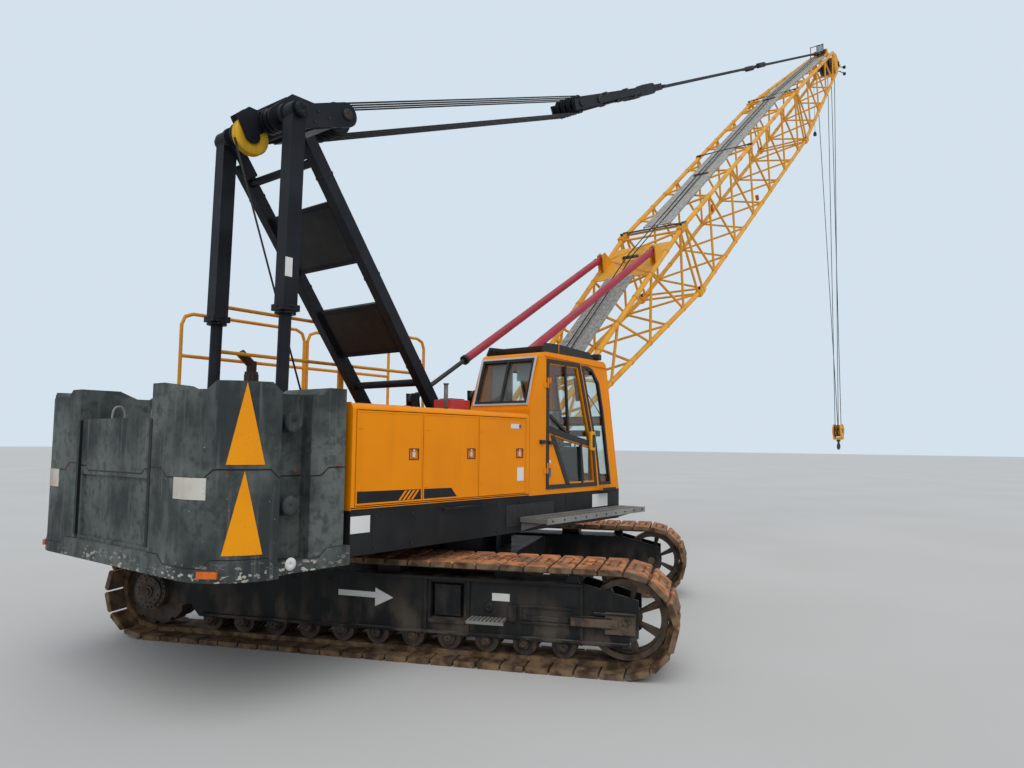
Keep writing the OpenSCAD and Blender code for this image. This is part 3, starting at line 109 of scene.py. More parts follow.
class Surface:
    """A procedural material on object coordinates, with the nodes that build it up."""

    def __init__(self, name, rough=0.5, metal=0.0, coat=0.0, gloss=0.5):
        self.material = LOOK[name] = bpy.data.materials.new(name)
        self.material.use_nodes = True
        self.tree = self.material.node_tree
        self.shader = self.tree.nodes["Principled BSDF"]
        for key, value in (("Roughness", rough), ("Metallic", metal), ("Coat Weight", coat),
                           ("Specular IOR Level", gloss)):
            self.shader.inputs[key].default_value = value
        self.place = self.node("TexCoord").outputs["Object"]

    def put(self, slot, value):
        """Links a socket to a slot, or sets the slot's own value."""
        if isinstance(value, bpy.types.NodeSocket):
            self.tree.links.new(value, slot)
        else:
            slot.default_value = (*value, 1) if slot.type == "RGBA" else value

    def node(self, kind, **inputs):
        made = self.tree.nodes.new("ShaderNode" + kind)
        for key, value in inputs.items():
            self.put(made.inputs[key.replace("_", " ")], value)
        return made

    def noise(self, scale, detail=4, stretch=(1, 1, 1)):
        place = self.node("Mapping", Vector=self.place, Scale=stretch).outputs[0]
        return self.node("TexNoise", Vector=place, Scale=scale, Detail=detail).outputs["Fac"]

    def steps(self, factor, low, high):
        made = self.node("MapRange", Value=factor, From_Min=low, From_Max=high)
        made.interpolation_type = "SMOOTHSTEP"
        return made.outputs[0]

    def spots(self, scale, detail, low, high, stretch=(1, 1, 1)):
        """Noise that rises from none to full between two values."""
        return self.steps(self.noise(scale, detail, stretch), low, high)

    def times(self, *factors):
        made = self.node("Math")
        made.operation = "MULTIPLY"
        for slot, value in zip(made.inputs, factors):
            self.put(slot, value)
        return made.outputs[0]

    def blend(self, factor, under, over):
        made = self.node("Mix")
        made.data_type = "RGBA"
        for slot, value in ((0, factor), (6, under), (7, over)):
            self.put(made.inputs[slot], value)
        return made.outputs[2]

    def upward(self, low=0.3, high=0.95):
        normal = self.node("NewGeometry").outputs["Normal"]
        return self.steps(self.node("SeparateXYZ", Vector=normal).outputs["Z"], low, high)

    def height(self, low, high):
        return self.steps(self.node("SeparateXYZ", Vector=self.place).outputs["Z"], low, high)

    def colour(self, value):
        self.put(self.shader.inputs["Base Color"], value)

    def bumps(self, height, strength, depth=0.002, soft=0.0):
        made = self.node("Bump", Height=height, Strength=strength, Distance=depth)
        if soft:
            edge = self.node("Bevel", Radius=soft)
            edge.samples = 3
            self.put(made.inputs["Normal"], edge.outputs[0])
        self.put(self.shader.inputs["Normal"], made.outputs[0])

    def roughness(self, factor, low, high):
        made = self.node("MapRange", Value=factor, To_Min=low, To_Max=high)
        self.put(self.shader.inputs["Roughness"], made.outputs[0])


def paint(name, base, fade, dirt, dust=0.35, grime=0.35, rough=0.42, coat=0.05, soft=0.004, gloss=0.25,
          splash=0.0):
    """Paint with faded patches, rain streaks, specks, dust on what faces up and mud splashed low down."""
    s = Surface(name, rough, 0.0, coat, gloss)
    body = s.blend(s.spots(1.7, 6, 0.35, 0.75), base, fade)
    body = s.blend(s.times(s.spots(5.0, 8, 0.52, 0.8, (1, 1, 0.09)), grime), body, dirt)
    body = s.blend(s.times(s.spots(60.0, 3, 0.62, 0.75), grime), body, dirt)
    body = s.blend(s.times(s.times(s.upward(), s.spots(4.0, 8, 0.3, 0.7)), dust), body, DUST)
    if splash:
        low = s.times(s.height(0.85, 0.22), s.spots(5.0, 9, 0.42, 0.66, (1, 1, 0.5)))
        body = s.blend(s.times(low, splash), body, SPLASH)
    s.colour(body)
    s.bumps(s.noise(35.0, 4), 0.12, 0.002, soft)
    s.roughness(s.noise(9.0, 5), rough - 0.08, rough + 0.2)


def steel(name, base, rust, share, rough=0.55, metal=0.35, fine=14.0, mud=0.0):
    """Worn steel with rust in patches, more of it where the share is high, and dried mud."""
    s = Surface(name, rough, metal, 0.0, 0.3)
    body = s.blend(s.times(s.spots(fine, 8, 0.4, 0.65), share), base, rust)
    body = s.blend(s.times(s.spots(fine * 5, 5, 0.5, 0.7), 0.5), body, GRIT)
    if mud:
        body = s.blend(s.times(s.spots(6.0, 8, 0.4, 0.62), mud), body, (0.15, 0.115, 0.085))
    s.colour(body)
    s.bumps(s.noise(fine * 3, 6), 0.45, 0.003, 0.003)
    s.roughness(s.noise(fine, 4), rough - 0.15, rough + 0.25)


def rusty_shoes():
    """Shoe plates: dry orange rust where they face up, dark wet brown below."""
    s = Surface("shoe_rust", 0.85, 0.0, 0.0, 0.2)
    patches = s.spots(9.0, 8, 0.35, 0.68)
    low_rust = s.blend(patches, (0.060, 0.038, 0.024), (0.235, 0.150, 0.082))
    high_rust = s.blend(patches, (0.22, 0.092, 0.045), (0.58, 0.245, 0.105))
    body = s.blend(s.times(s.height(0.15, 0.85), s.upward(0.0, 0.7)), low_rust, high_rust)
    s.colour(s.blend(s.times(s.spots(4.0, 8, 0.5, 0.65), 0.55), body, (0.19, 0.14, 0.105)))
    s.bumps(s.noise(45.0, 8), 0.6, 0.006, 0.003)


def ballast():
    """Weathered grey-green paint with rain streaks, chips, a rusty band and scrapes along low edges."""
    s = Surface("ballast_paint", 0.6, 0.0, 0.0, 0.25)
    height = s.node("SeparateXYZ", Vector=s.place).outputs["Z"]
    body = s.blend(s.spots(1.5, 9, 0.38, 0.64), (0.030, 0.037, 0.038), (0.120, 0.136, 0.126))
    # Mottles, haze, rain streaks and chips: scale, detail, low, high, stretch, share, colour
    for scale, detail, low, high, stretch, share, tint in (
            (15.0, 9, 0.46, 0.66, (1, 1, 1), 0.6, (0.026, 0.032, 0.034)),
            (6.0, 10, 0.52, 0.72, (1, 1, 0.35), 0.45, (0.150, 0.168, 0.158)),
            (24.0, 8, 0.54, 0.74, (1, 1, 0.05), 0.35, (0.20, 0.20, 0.185)),
            (46.0, 7, 0.705, 0.74, (1, 1, 1), 0.7, (0.46, 0.43, 0.39))):
        body = s.blend(s.times(s.spots(scale, detail, low, high, stretch), share), body, tint)
    band = s.times(s.steps(height, 1.79, 1.83), s.steps(height, 1.90, 1.86))
    body = s.blend(s.times(s.times(band, s.spots(9.0, 6, 0.60, 0.68)), 0.8), body, (0.36, 0.075, 0.025))
    scrapes = s.times(s.spots(24.0, 10, 0.56, 0.61, (0.7, 0.7, 1.4)), s.spots(2.5, 3, 0.42, 0.58))
    s.colour(s.blend(s.times(scrapes, s.steps(height, 1.20, 1.07)), body, (0.50, 0.46, 0.40)))
    s.bumps(s.noise(26.0, 7), 0.35, 0.003, 0.008)
    s.roughness(s.noise(8.0, 6), 0.5, 0.8)


def rope(name, base, scale):
    """Wire rope: slanting strands shown as bands."""
    s = Surface(name, 0.5, 0.6)
    wave = s.node("TexWave", Vector=s.place, Scale=scale, Distortion=0.4)
    wave.bands_direction = "DIAGONAL"
    s.colour(s.blend(wave.outputs["Fac"], tuple(c * 0.35 for c in base), base))
    s.bumps(wave.outputs["Fac"], 0.7, 0.003)


def glass(name, tint):
    """Clear glass with a faint dusty haze."""
    s = Surface(name, 0.03)
    s.shader.inputs["Transmission Weight"].default_value = 1.0
    s.shader.inputs["IOR"].default_value = 1.45
    s.colour(s.blend(s.times(s.spots(5.0, 8, 0.45, 0.8), 0.5), tint, tuple(c * 0.8 for c in tint)))


def plain(name, base, dark, rough=0.5, scale=25.0, metal=0.0, bump=0.15):
    """A moulded or printed surface with fine mottling."""
    s = Surface(name, rough, metal)
    s.colour(s.blend(s.spots(scale, 6, 0.3, 0.7), base, dark))
    s.bumps(s.noise(scale * 3, 4), bump, 0.001, 0.002)


def galvanised():
    """Weathered zinc of the walkway's mesh."""
    s = Surface("walk_steel", 0.6, 0.5)
    s.colour(s.blend(s.spots(16.0, 7, 0.35, 0.7), (0.46, 0.46, 0.44), (0.30, 0.29, 0.27)))
    s.bumps(s.noise(70.0, 3), 0.3, 0.002)


# Paints: base, faded and dirty colour
paint("body_paint", (0.92, 0.288, 0.001), (0.85, 0.258, 0.001), (0.22, 0.08, 0.01), 0.25, 0.2,
      coat=0.02, gloss=0.14)
paint("boom_paint", (0.86, 0.400, 0.020), (0.74, 0.320, 0.018), (0.22, 0.11, 0.03), grime=0.4, rough=0.45)
paint("rail_paint", (0.82, 0.37, 0.02), (0.70, 0.30, 0.02), (0.25, 0.14, 0.04), grime=0.3)
paint("frame_paint", (0.014, 0.015, 0.017), (0.028, 0.028, 0.028), (0.060, 0.050, 0.042), 0.55, 0.5,
      gloss=0.10, splash=0.55)
paint("gantry_paint", (0.0085, 0.0105, 0.0155), (0.018, 0.021, 0.028), (0.035, 0.034, 0.034), 0.05, 0.3,
      gloss=0.15)
paint("walk_paint", (0.20, 0.20, 0.19), (0.30, 0.29, 0.27), (0.08, 0.07, 0.06), 0.3)
paint("triangle_paint", (0.90, 0.335, 0.003), (0.84, 0.295, 0.004), (0.22, 0.10, 0.03), 0.0, 0.45, gloss=0.15)
paint("yellow_paint", (0.74, 0.43, 0.016), (0.56, 0.32, 0.02), (0.16, 0.10, 0.03), grime=0.5)
paint("red_paint", (0.42, 0.030, 0.060), (0.34, 0.030, 0.052), (0.12, 0.03, 0.03), grime=0.25)
paint("orange_red", (0.60, 0.105, 0.02), (0.45, 0.08, 0.02), (0.14, 0.05, 0.02), grime=0.5)
paint("white_paint", (0.72, 0.72, 0.70), (0.58, 0.57, 0.54), (0.25, 0.20, 0.16))
paint("label_white", (0.80, 0.80, 0.79), (0.70, 0.70, 0.68), (0.35, 0.30, 0.26), grime=0.25, soft=0)
paint("label_rust", (0.66, 0.64, 0.58), (0.42, 0.34, 0.26), (0.28, 0.10, 0.04), grime=0.9, soft=0)
paint("label_blue", (0.035, 0.075, 0.26), (0.06, 0.11, 0.30), (0.3, 0.3, 0.3), grime=0.2, soft=0)
# Black for print, and for painted shade in the counterweight's seams and gaps
paint("label_black", (0.008, 0.008, 0.009), (0.014, 0.014, 0.015), (0.05, 0.045, 0.04), 0.2, 0.25, soft=0)

# Steels: base and rust colour, share of rust
steel("wheel_steel", (0.045, 0.042, 0.042), (0.14, 0.085, 0.055), 0.8, mud=0.5)
steel("idler_steel", (0.06, 0.048, 0.042), (0.19, 0.115, 0.075), 0.85, fine=9.0, mud=0.8)
steel("drum_steel", (0.10, 0.10, 0.105), (0.16, 0.08, 0.04), 0.4)
steel("bolt_steel", (0.16, 0.16, 0.16), (0.20, 0.09, 0.045), 0.6, metal=0.8, fine=30.0)
steel("dark_bolt", (0.035, 0.035, 0.036), (0.12, 0.06, 0.04), 0.4, metal=0.3, fine=30.0)
steel("engine_iron", (0.12, 0.125, 0.13), (0.10, 0.07, 0.05), 0.4)
steel("exhaust_steel", (0.030, 0.028, 0.028), (0.13, 0.065, 0.04), 0.4, metal=0.3)
steel("rod_steel", (0.055, 0.057, 0.06), (0.10, 0.06, 0.04), 0.25, rough=0.4, metal=0.7)
steel("hook_steel", (0.06, 0.06, 0.06), (0.16, 0.08, 0.05), 0.5)

# Other finishes
plain("chrome", (0.74, 0.75, 0.76), (0.62, 0.63, 0.64), 0.28, 6.0, metal=0.55, bump=0.05)
rusty_shoes()
ballast()
rope("rope_steel", (0.048, 0.048, 0.050), 55.0)
rope("wound_rope", (0.13, 0.125, 0.12), 40.0)
glass("window_glass", (0.80, 0.87, 0.85))
galvanised()
plain("rubber", (0.010, 0.010, 0.010), (0.022, 0.022, 0.022), 0.55)
plain("guard_black", (0.008, 0.008, 0.008), (0.020, 0.020, 0.020), 0.6, bump=0.4)
plain("seat_cloth", (0.030, 0.030, 0.034), (0.055, 0.055, 0.060), 0.9, 90.0, bump=0.5)
plain("trim_grey", (0.10, 0.10, 0.10), (0.16, 0.16, 0.155), 0.6)
plain("blind_cloth", (0.40, 0.42, 0.40), (0.48, 0.50, 0.48), 0.85, 60.0)
plain("lamp_lens", (0.75, 0.16, 0.012), (0.60, 0.11, 0.01), 0.2)
plain("red_lens", (0.50, 0.02, 0.015), (0.36, 0.015, 0.012), 0.2)
plain("lamp_glass", (0.65, 0.66, 0.66), (0.50, 0.51, 0.52), 0.12, metal=0.4)

# A solid wears the look named as its slot, apart from these slots and nodes
SLOT_LOOKS = {"track_steel": "shoe_rust", "walkway_mesh": "walk_steel", "backstop_paint": "red_paint"}
NODE_LOOKS = {"catwalk": "walk_paint", "idlers": "idler_steel", "tip_sheaves": "drum_steel"}
for part in frame["record"]["subparts"]:
    solid, slot = nodes[part["node"]], part["material_slot"]
    solid.data.materials.clear()
    solid.data.materials.append(LOOK[NODE_LOOKS.get(part["node"], SLOT_LOOKS.get(slot, slot))])


# Modelling
class Form:
    """One mesh piece, drawn in a local frame with bmesh operators."""

    def __init__(self, at=Matrix(), wall=WALL):
        self.mesh = bmesh.new()
        self.at = at
        self.wall = wall

    def look(self, verts, mat, smooth=False):
        for face in {f for v in verts for f in v.link_faces}:
            face.material_index = mat
            face.smooth = smooth and len(face.verts) == 4

    def box(self, low, high, mat=0, soft=0.0):
        low, high = Vector(low), Vector(high)
        place = self.at @ Matrix.Translation((low + high) / 2) @ Matrix.Diagonal((*(high - low), 1))
        verts = bmesh.ops.create_cube(self.mesh, size=1, matrix=place)["verts"]
        self.look(verts, mat)
        if soft:
            edges = list({e for v in verts for e in v.link_edges})
            bmesh.ops.bevel(self.mesh, geom=edges, offset=soft, segments=2, profile=0.5, affect="EDGES",
                            material=-1)

    def tag(self, x0, z0, x1, z1, out, mat=0, soft=0.0, into=SUNK):
        """A thin box on the outer wall, from out before it to into behind it."""
        self.box((x0, self.wall - out, z0), (x1, self.wall + into, z1), mat, soft)

    def rod(self, a, b, r, mat=0, sides=16):
        a, b = Vector(a), Vector(b)
        turn = (b - a).to_track_quat("Z", "Y").to_matrix().to_4x4()
        place = self.at @ Matrix.Translation((a + b) / 2) @ turn
        made = bmesh.ops.create_cone(self.mesh, cap_ends=True, segments=sides, radius1=r, radius2=r,
                                     depth=(b - a).length, matrix=place)
        self.look(made["verts"], mat, sides > 6)

    def outline(self, points, low, across):
        """A flat face from points in the plane that a named axis crosses."""
        spot = "xyz".index(across)
        corners = [Vector((*point[:spot], low, *point[spot:])) for point in points]
        return self.mesh.faces.new([self.mesh.verts.new(self.at @ c) for c in corners])

    def thicken(self, faces, depth, across, mat):
        made = bmesh.ops.extrude_face_region(self.mesh, geom=faces)["geom"]
        verts = [g for g in made if isinstance(g, bmesh.types.BMVert)]
        way = self.at.to_3x3() @ Vector([depth * (axis == across) for axis in "xyz"])
        bmesh.ops.translate(self.mesh, verts=verts, vec=way)
        self.look(verts, mat)
        for face in faces:
            face.material_index = mat

    def plate(self, points, low, high, across="y", mat=0):
        self.thicken([self.outline(points, low, across)], high - low, across, mat)

    def border(self, points, low, high, width, across="y", mat=0):
        """A frame of one width that follows an outline on its inner side."""
        face = self.outline(points, low, across)
        face.normal_update()
        ring = bmesh.ops.inset_region(self.mesh, faces=[face], thickness=width, use_even_offset=True,
                                      use_boundary=True)["faces"]
        bmesh.ops.delete(self.mesh, geom=[face], context="FACES")
        self.thicken(ring, high - low, across, mat)

    def turned(self, profile, centre, axis, mat=0, steps=32):
        """A profile of (distance along the axis, radius) turned about the axis."""
        axis, centre = Vector(axis).normalized(), Vector(centre)
        side = axis.orthogonal().normalized()
        verts = [self.mesh.verts.new(self.at @ (centre + axis * a + side * r)) for a, r in profile]
        edges = [self.mesh.edges.new((verts[i], verts[i - 1])) for i in range(len(verts))]
        bmesh.ops.spin(self.mesh, geom=verts + edges, cent=self.at @ centre, axis=self.at.to_3x3() @ axis,
                       angle=math.tau, steps=steps, use_merge=True)
        found = {f for v in verts for f in v.link_faces}
        new = set(found)
        while new:
            new = {g for f in new for e in f.edges for g in e.link_faces} - found
            found |= new
        for face in found:
            face.material_index = mat
            face.smooth = True

    def disc(self, centre, axis, ends, radii, mat=0, steps=24):
        """A ring or disc between two distances along the axis and two radii."""
        (low, high), (inner, outer) = ends, radii
        self.turned([(low, inner), (high, inner), (high, outer), (low, outer)], centre, axis, mat, steps)

    def pipe(self, points, r, mat=0, sides=3, bend=True):
        """A pipe along points, rounded where it bends."""
        curve = bpy.data.curves.new("route", "CURVE")
        curve.dimensions = "3D"
        curve.bevel_depth = r
        curve.bevel_resolution = sides
        curve.use_fill_caps = True
        spline = curve.splines.new("NURBS" if bend else "POLY")
        spline.points.add(len(points) - 1)
        for point, place in zip(spline.points, points):
            point.co = (*(self.at @ Vector(place)), 1)
        if bend:
            spline.use_endpoint_u = True
            spline.order_u = 3
            spline.resolution_u = 6
        holder = bpy.data.objects.new("route", curve)
        bpy.context.scene.collection.objects.link(holder)
        mesh = bpy.data.meshes.new_from_object(holder.evaluated_get(bpy.context.evaluated_depsgraph_get()))
        before = len(self.mesh.faces)
        self.mesh.from_mesh(mesh)
        self.mesh.faces.ensure_lookup_table()
        for face in self.mesh.faces[before:]:
            face.material_index = mat
            face.smooth = True
        bpy.data.objects.remove(holder)
        bpy.data.curves.remove(curve)
        bpy.data.meshes.remove(mesh)

    def bolt(self, place, axis, r=0.012, h=0.010, mat=0):
        place, axis = Vector(place), Vector(axis).normalized()
        self.rod(place - axis * CORE, place + axis * h, r, mat, sides=6)

    def bolts(self, centre, axis, ring, count, r=0.012, h=0.010, mat=0):
        axis = Vector(axis).normalized()
        side = axis.orthogonal().normalized()
        for i in range(count):
            spoke = Matrix.Rotation(math.tau * i / count, 3, axis) @ side
            self.bolt(Vector(centre) + spoke * ring, axis, r, h, mat)

    def done(self, name, looks, body="superstructure", slot=None):
        """Makes the piece with its looks and sets it on its body. The slot is not used."""
        bmesh.ops.recalc_face_normals(self.mesh, faces=self.mesh.faces)
        data = bpy.data.meshes.new(name)
        self.mesh.to_mesh(data)
        self.mesh.free()
        made = bpy.data.objects.new(name, data)
        bpy.context.scene.collection.objects.link(made)
        looks = looks.split()
        for look in looks:
            data.materials.append(LOOK[look])
        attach(made, body)
        return made


def rect(x0, z0, x1, z1):
    return [(x0, z0), (x1, z0), (x1, z1), (x0, z1)]


def outward(y):
    """The way along y that leads out of the machine's middle."""
    return (0, math.copysign(1, y), 0)


# Tracks: bolts on every shoe that is off the ground, and pin heads at both ends of the links
SHOES, SHOE_T, PIN_R = 56, 0.048, 0.427
PITCH = (2 * WHEELBASE + 2 * math.pi * PIN_R) / SHOES
ROLLERS, ROLLER_X, ROLLER_STEP, ROLLER_Z = 11, -1.794, 0.371, 0.2093


def loop_at(s):
    """A place on the path of the track's pins, from the rear end of its upper run."""
    way, half_loop = 1, WHEELBASE + math.pi * PIN_R
    if s >= half_loop:
        way, s = -1, s - half_loop
    if s < WHEELBASE:
        return way * Vector((s - WHEELBASE / 2, 0, PIN_R))
    t = math.pi / 2 - (s - WHEELBASE) / PIN_R
    return way * Vector((WHEELBASE / 2 + PIN_R * math.cos(t), 0, PIN_R * math.sin(t)))


for side, flip in SIDES:
    bolts = Form()
    for i in range(SHOES):
        p, q = loop_at(i * PITCH), loop_at((i + 1) % SHOES * PITCH)
        middle = (p + q) / 2 + Vector((0, -TRACK_Y, LOOP_R))
        lean = Matrix.Rotation(-math.atan2(q.z - p.z, q.x - p.x), 4, "Y")
        bolts.at = TRACKS @ flip @ Matrix.Translation(middle) @ lean
        for x in () if middle.z < 0.08 else (-0.045, 0.045):
            for y in (-0.13, -0.05, 0.05, 0.13):
                bolts.bolt((x, y, SHOE_T), UP, 0.014, 0.008)
        for y in (-1, 1):
            bolts.rod((-PITCH / 2, y * 0.163, -0.023), (-PITCH / 2, y * 0.176, -0.023), 0.017, 0, 10)
    bolts.done("shoe_bolts_" + side, "shoe_rust", "undercarriage", slot="track_steel")

    # Final drive, idler and roller fittings
    gear = Form(TRACKS @ flip)
    hub = Vector((-WHEELBASE / 2, -TRACK_Y, LOOP_R))
    gear.bolts(hub + Vector((0, -0.271, 0)), OUT, 0.170, 20, 0.011, BOLT_H)
    gear.bolts(hub + Vector((0, -0.296, 0)), OUT, 0.120, 12, 0.010, 0.010)
    gear.turned([(0.311, CORE), (0.325, CORE), (0.325, 0.030), (0.311, 0.036)], hub, OUT)
    idler = Vector((WHEELBASE / 2, -TRACK_Y, LOOP_R))
    gear.turned([(0.200, CORE), (0.226, CORE), (0.226, 0.052), (0.215, 0.066), (0.200, 0.070)], idler, OUT)
    gear.bolts(idler + Vector((0, -0.215, 0)), OUT, 0.058, 6, 0.007, BOLT_H)
    for i in range(ROLLERS):
        roller = Vector((ROLLER_X + i * ROLLER_STEP, -TRACK_Y, ROLLER_Z))
        for depth, r in ((0.217, 0.036), (0.223, 0.027)):
            far = depth + 0.005
            gear.turned([(depth, 0.012), (far, 0.012), (far, r), (depth, r + 0.005)], roller, OUT, 0, 20)
    gear.done("drive_fittings_" + side, "wheel_steel", "undercarriage")

    # Frame's outer face: arrow, bolts, blank label, slide block, guard strips and the step's grip strips
    face = -FRAME_FACE
    dress = Form(TRACKS @ flip, face)
    dress.plate([(-0.350, 0.548), (-0.350, 0.603), (0.045, 0.596), (0.045, 0.640), (0.235, 0.552),
                 (0.045, 0.460), (0.045, 0.541)], face - 0.0025, face + SUNK, mat=1)
    dress.tag(1.235, 0.585, 1.405, 0.655, 0.003, 2)
    for xs, zs, depth, r, mat in (((-1.65, -1.25, -0.85, -0.45), (0.70,), 0, 0.014, 0),
                                  ((0.70, 0.87), (0.68, 0.45), 0.04, 0.012, 0),
                                  ((1.56, 1.68, 1.80, 1.92), (0.48,), 0, 0.012, 0),
                                  ((2.03, 2.12, 2.21, 2.30), (0.45,), -0.034, 0.013, 3)):
        for z in zs:
            for x in xs:
                dress.bolt((x, face + depth, z), OUT, r, BOLT_H, mat)
    dress.tag(1.99, 0.412, 2.42, 0.488, 0.052, 3, 0.006, -0.030)
    dress.tag(2.30, 0.352, 2.58, 0.548, 0.026, 3, 0.008, 0.004)
    dress.tag(1.515, 0.425, 1.97, 0.470, 0.012, 0, 0.004)
    for i in range(9):
        dress.tag(1.038 + i * 0.039, 0.4255, 1.062 + i * 0.039, 0.434, 0.166, 4, 0, -0.004)
    dress.tag(1.030, 0.398, 1.390, 0.426, 0.1725, 4, 0, -0.1695)
    # Grease fitting's cover and lifting eyes
    dress.turned([(0.0, CORE), (0.012, CORE), (0.012, 0.045), (0.0, 0.050)], (1.20, face, 0.52), OUT, 0, 24)
    for x in (-1.75, 2.0):
        dress.plate([(x - 0.07, 0.785), (x + 0.07, 0.785), (x + 0.035, 0.86), (x - 0.035, 0.86)],
                    face - 0.01, face + 0.015)
    dress.done("frame_dress_" + side, "frame_paint white_paint label_white idler_steel walk_paint",
               "undercarriage")

# Underside: ring of bolts, swivel in the middle and its flange
ring = Form()
ring.bolts((0, 0, 1.05), DOWN, 0.64, 36, 0.014, 0.014)
ring.disc((0, 0, 1.015), UP, (0, 0.028), (0.69, 0.75), 1, 48)
ring.rod((0, 0, 0.62), (0, 0, 1.12), 0.11, 1, 24)
ring.disc((0, 0, 0.62), UP, (0, 0.03), (CORE, 0.16), 1, 32)
ring.done("ring_fittings", "dark_bolt wheel_steel", "undercarriage", slot="wheel_steel")

# Counterweight: triangles on the rounded corners, blank labels, caps of the stubs, and painted shade along
# the seams between the blocks
TAIL_X, TAIL_HALF, CORNER_R, FACETS = -4.025, 1.62, 0.5, 12
CORNER = Vector((TAIL_X + CORNER_R, CORNER_R - TAIL_HALF, 0))
CORNER_L = CORNER_R * math.pi / 2
RIDGES = (((-1.890, 0), -152, 0.205), ((-3.285, 0), -90, 0.240))
RIDGE_H, RIDGE_SLOPE, JOINT_Z = 0.065, 0.075, (1.198, 1.853)


def on_tail(s, z, lift=0.0):
    """A place on the tail, where s runs from the flat rear round the right corner to the side."""
    turn = min(max(s / CORNER_R, 0), math.pi / 2)
    reach = CORNER_R + lift
    side, back = max(s - CORNER_L, 0), -min(s, 0)
    return CORNER + Vector((side - reach * math.cos(turn), back - reach * math.sin(turn), z))


def cut(form, face, planes, **options):
    """Cuts a face along planes of (place, direction) across x and gives what is left of it."""
    geom = [face, *face.edges, *face.verts]
    for place, way in planes:
        made = bmesh.ops.bisect_plane(form.mesh, geom=geom, plane_co=place, plane_no=(way, 0, 0), **options)
        geom = [g for g in made["geom"] if g.is_valid]
    return [g for g in geom if isinstance(g, bmesh.types.BMFace)]


def tail_patch(form, outline, mat, lift=0.004):
    """A flat outline of (place round the tail, height) laid on the tail's facets."""
    face = form.mesh.faces.new([form.mesh.verts.new((s, 0, z)) for s, z in outline])
    faces = cut(form, face, [((CORNER_L * i / FACETS, 0, 0), 1) for i in range(FACETS + 1)])
    made = bmesh.ops.extrude_face_region(form.mesh, geom=faces)["geom"]
    lifted = {g for g in made if isinstance(g, bmesh.types.BMVert)}
    for vert in {v for f in faces for v in f.verts} | lifted:
        vert.co = form.at @ on_tail(vert.co.x, vert.co.z, lift if vert in lifted else -0.003)
    form.look(lifted, mat)
    for f in faces:
        f.material_index = mat


def drop(place):
    """How far the joint between two blocks drops where a ridge crosses it."""
    share = 0.0
    for (x, y), way, half in RIDGES:
        way = math.radians(way)
        off = abs((place.x - x) * math.sin(way) - (place.y - y) * math.cos(way))
        share = max(share, min(1.0, (half + RIDGE_SLOPE - off) / RIDGE_SLOPE))
    return RIDGE_H * share


def strip(path, half=0.0055):
    """The outline of a thin line along a path."""
    return [(a, b - half) for a, b in path] + [(a, b + half) for a, b in reversed(path)]


for side, flip in SIDES:
    marks = Form(flip)
    # Left corner, right corner and apex round the tail, then low and high height
    for a, c, b, low, high in ((0.391, 0.666, 0.521, 1.888, 2.500), (0.381, 0.668, 0.524, 1.232, 1.846)):
        tail_patch(marks, [(a, low), (c, low), (b, high)], 0)
    tail_patch(marks, rect(-0.10, 1.63, 0.25, 1.79), 1)
    marks.disc((-3.32, -1.508, 1.113), OUT, (-0.002, 0.004), (0.001, 0.050), 2, 28)
    marks.done("tail_marks_" + side, "triangle_paint label_rust label_white", slot="ballast_paint")

    # Dark strips along the seams between the blocks, round the tail and on the sides: painted shade of the
    # gaps
    joints = Form(flip)
    for z in JOINT_Z:
        places = [-0.478 + 0.012 * i for i in range(107)]
        tail_patch(joints, strip([(s, z - drop(on_tail(s, z))) for s in places]), 0, 0.0015)
        for y, x0, x1 in ((-1.37, -3.513, -3.152), (-HALF, -3.148, -2.802)):
            places = [x0 + (x1 - x0) * i / 12 for i in range(13)]
            joints.plate(strip([(x, z - drop(Vector((x, y, z)))) for x in places]), y - 0.0015, y + 0.003)
    # Caps of the lifting stubs
    for z in JOINT_Z:
        joints.turned([(-0.004, CORE), (0.010, CORE), (0.010, 0.066), (0.006, 0.076), (-0.004, 0.0795)],
                      (-3.315, -1.479, z + 0.360), OUT, 1, 36)
    joints.done("ballast_seam_shade_and_stub_caps_" + side, "label_black ballast_paint", slot="ballast_paint")

# Painted shade along the joint of the centre blocks, which drops in the middle, painted shadow as dark strips
# over the gaps beside them, and bent grips on top
centre = Form()
centre.plate(strip([(-0.630, 1.835), (-0.521, 1.835), (-0.480, 1.795), (0.480, 1.795), (0.521, 1.835),
                    (0.630, 1.835)]), -4.0066, -4.002, "x")
# Painted shadow of the gaps between the centre and side blocks
for y in (-0.640, 0.640):
    centre.box((-4.030, y - 0.020, 1.235), (-4.004, y + 0.020, 2.23))
for y in (-0.56, 0.12):
    centre.pipe([(-3.985, y, 2.24), (-3.985, y, 2.345), (-3.88, y, 2.345), (-3.88, y, 2.24)], 0.009, 1)
centre.done("centre_seam_shade_and_grips", "label_black walk_paint", slot="ballast_paint")

# Doors: edges, stripes cut where the doors part, latches, hinge covers and blank labels
DOOR_X = [HOUSING_REAR + 0.048 + i * 0.812 for i in range(3)]
DOOR_L, DOOR_LOW, DOOR_HIGH = 0.805, 1.521, 2.338
DOORS = [("right_" + n, Matrix(), x) for n, x in zip(("rear", "middle", "front"), DOOR_X)]
DOORS += [("left_rear", LEFT, DOOR_X[0]), ("left_front", LEFT, DOOR_X[2])]
BAND = [(-2.72, 1.538), (-1.391, 1.538), (-1.473, 1.625), (-2.72, 1.64)]
SLASHES = [[(x, 1.541), (x + 0.028, 1.541), (x + 0.110, 1.626), (x + 0.082, 1.626)]
           for x in (-2.181, -2.129, -2.077, -2.025)]

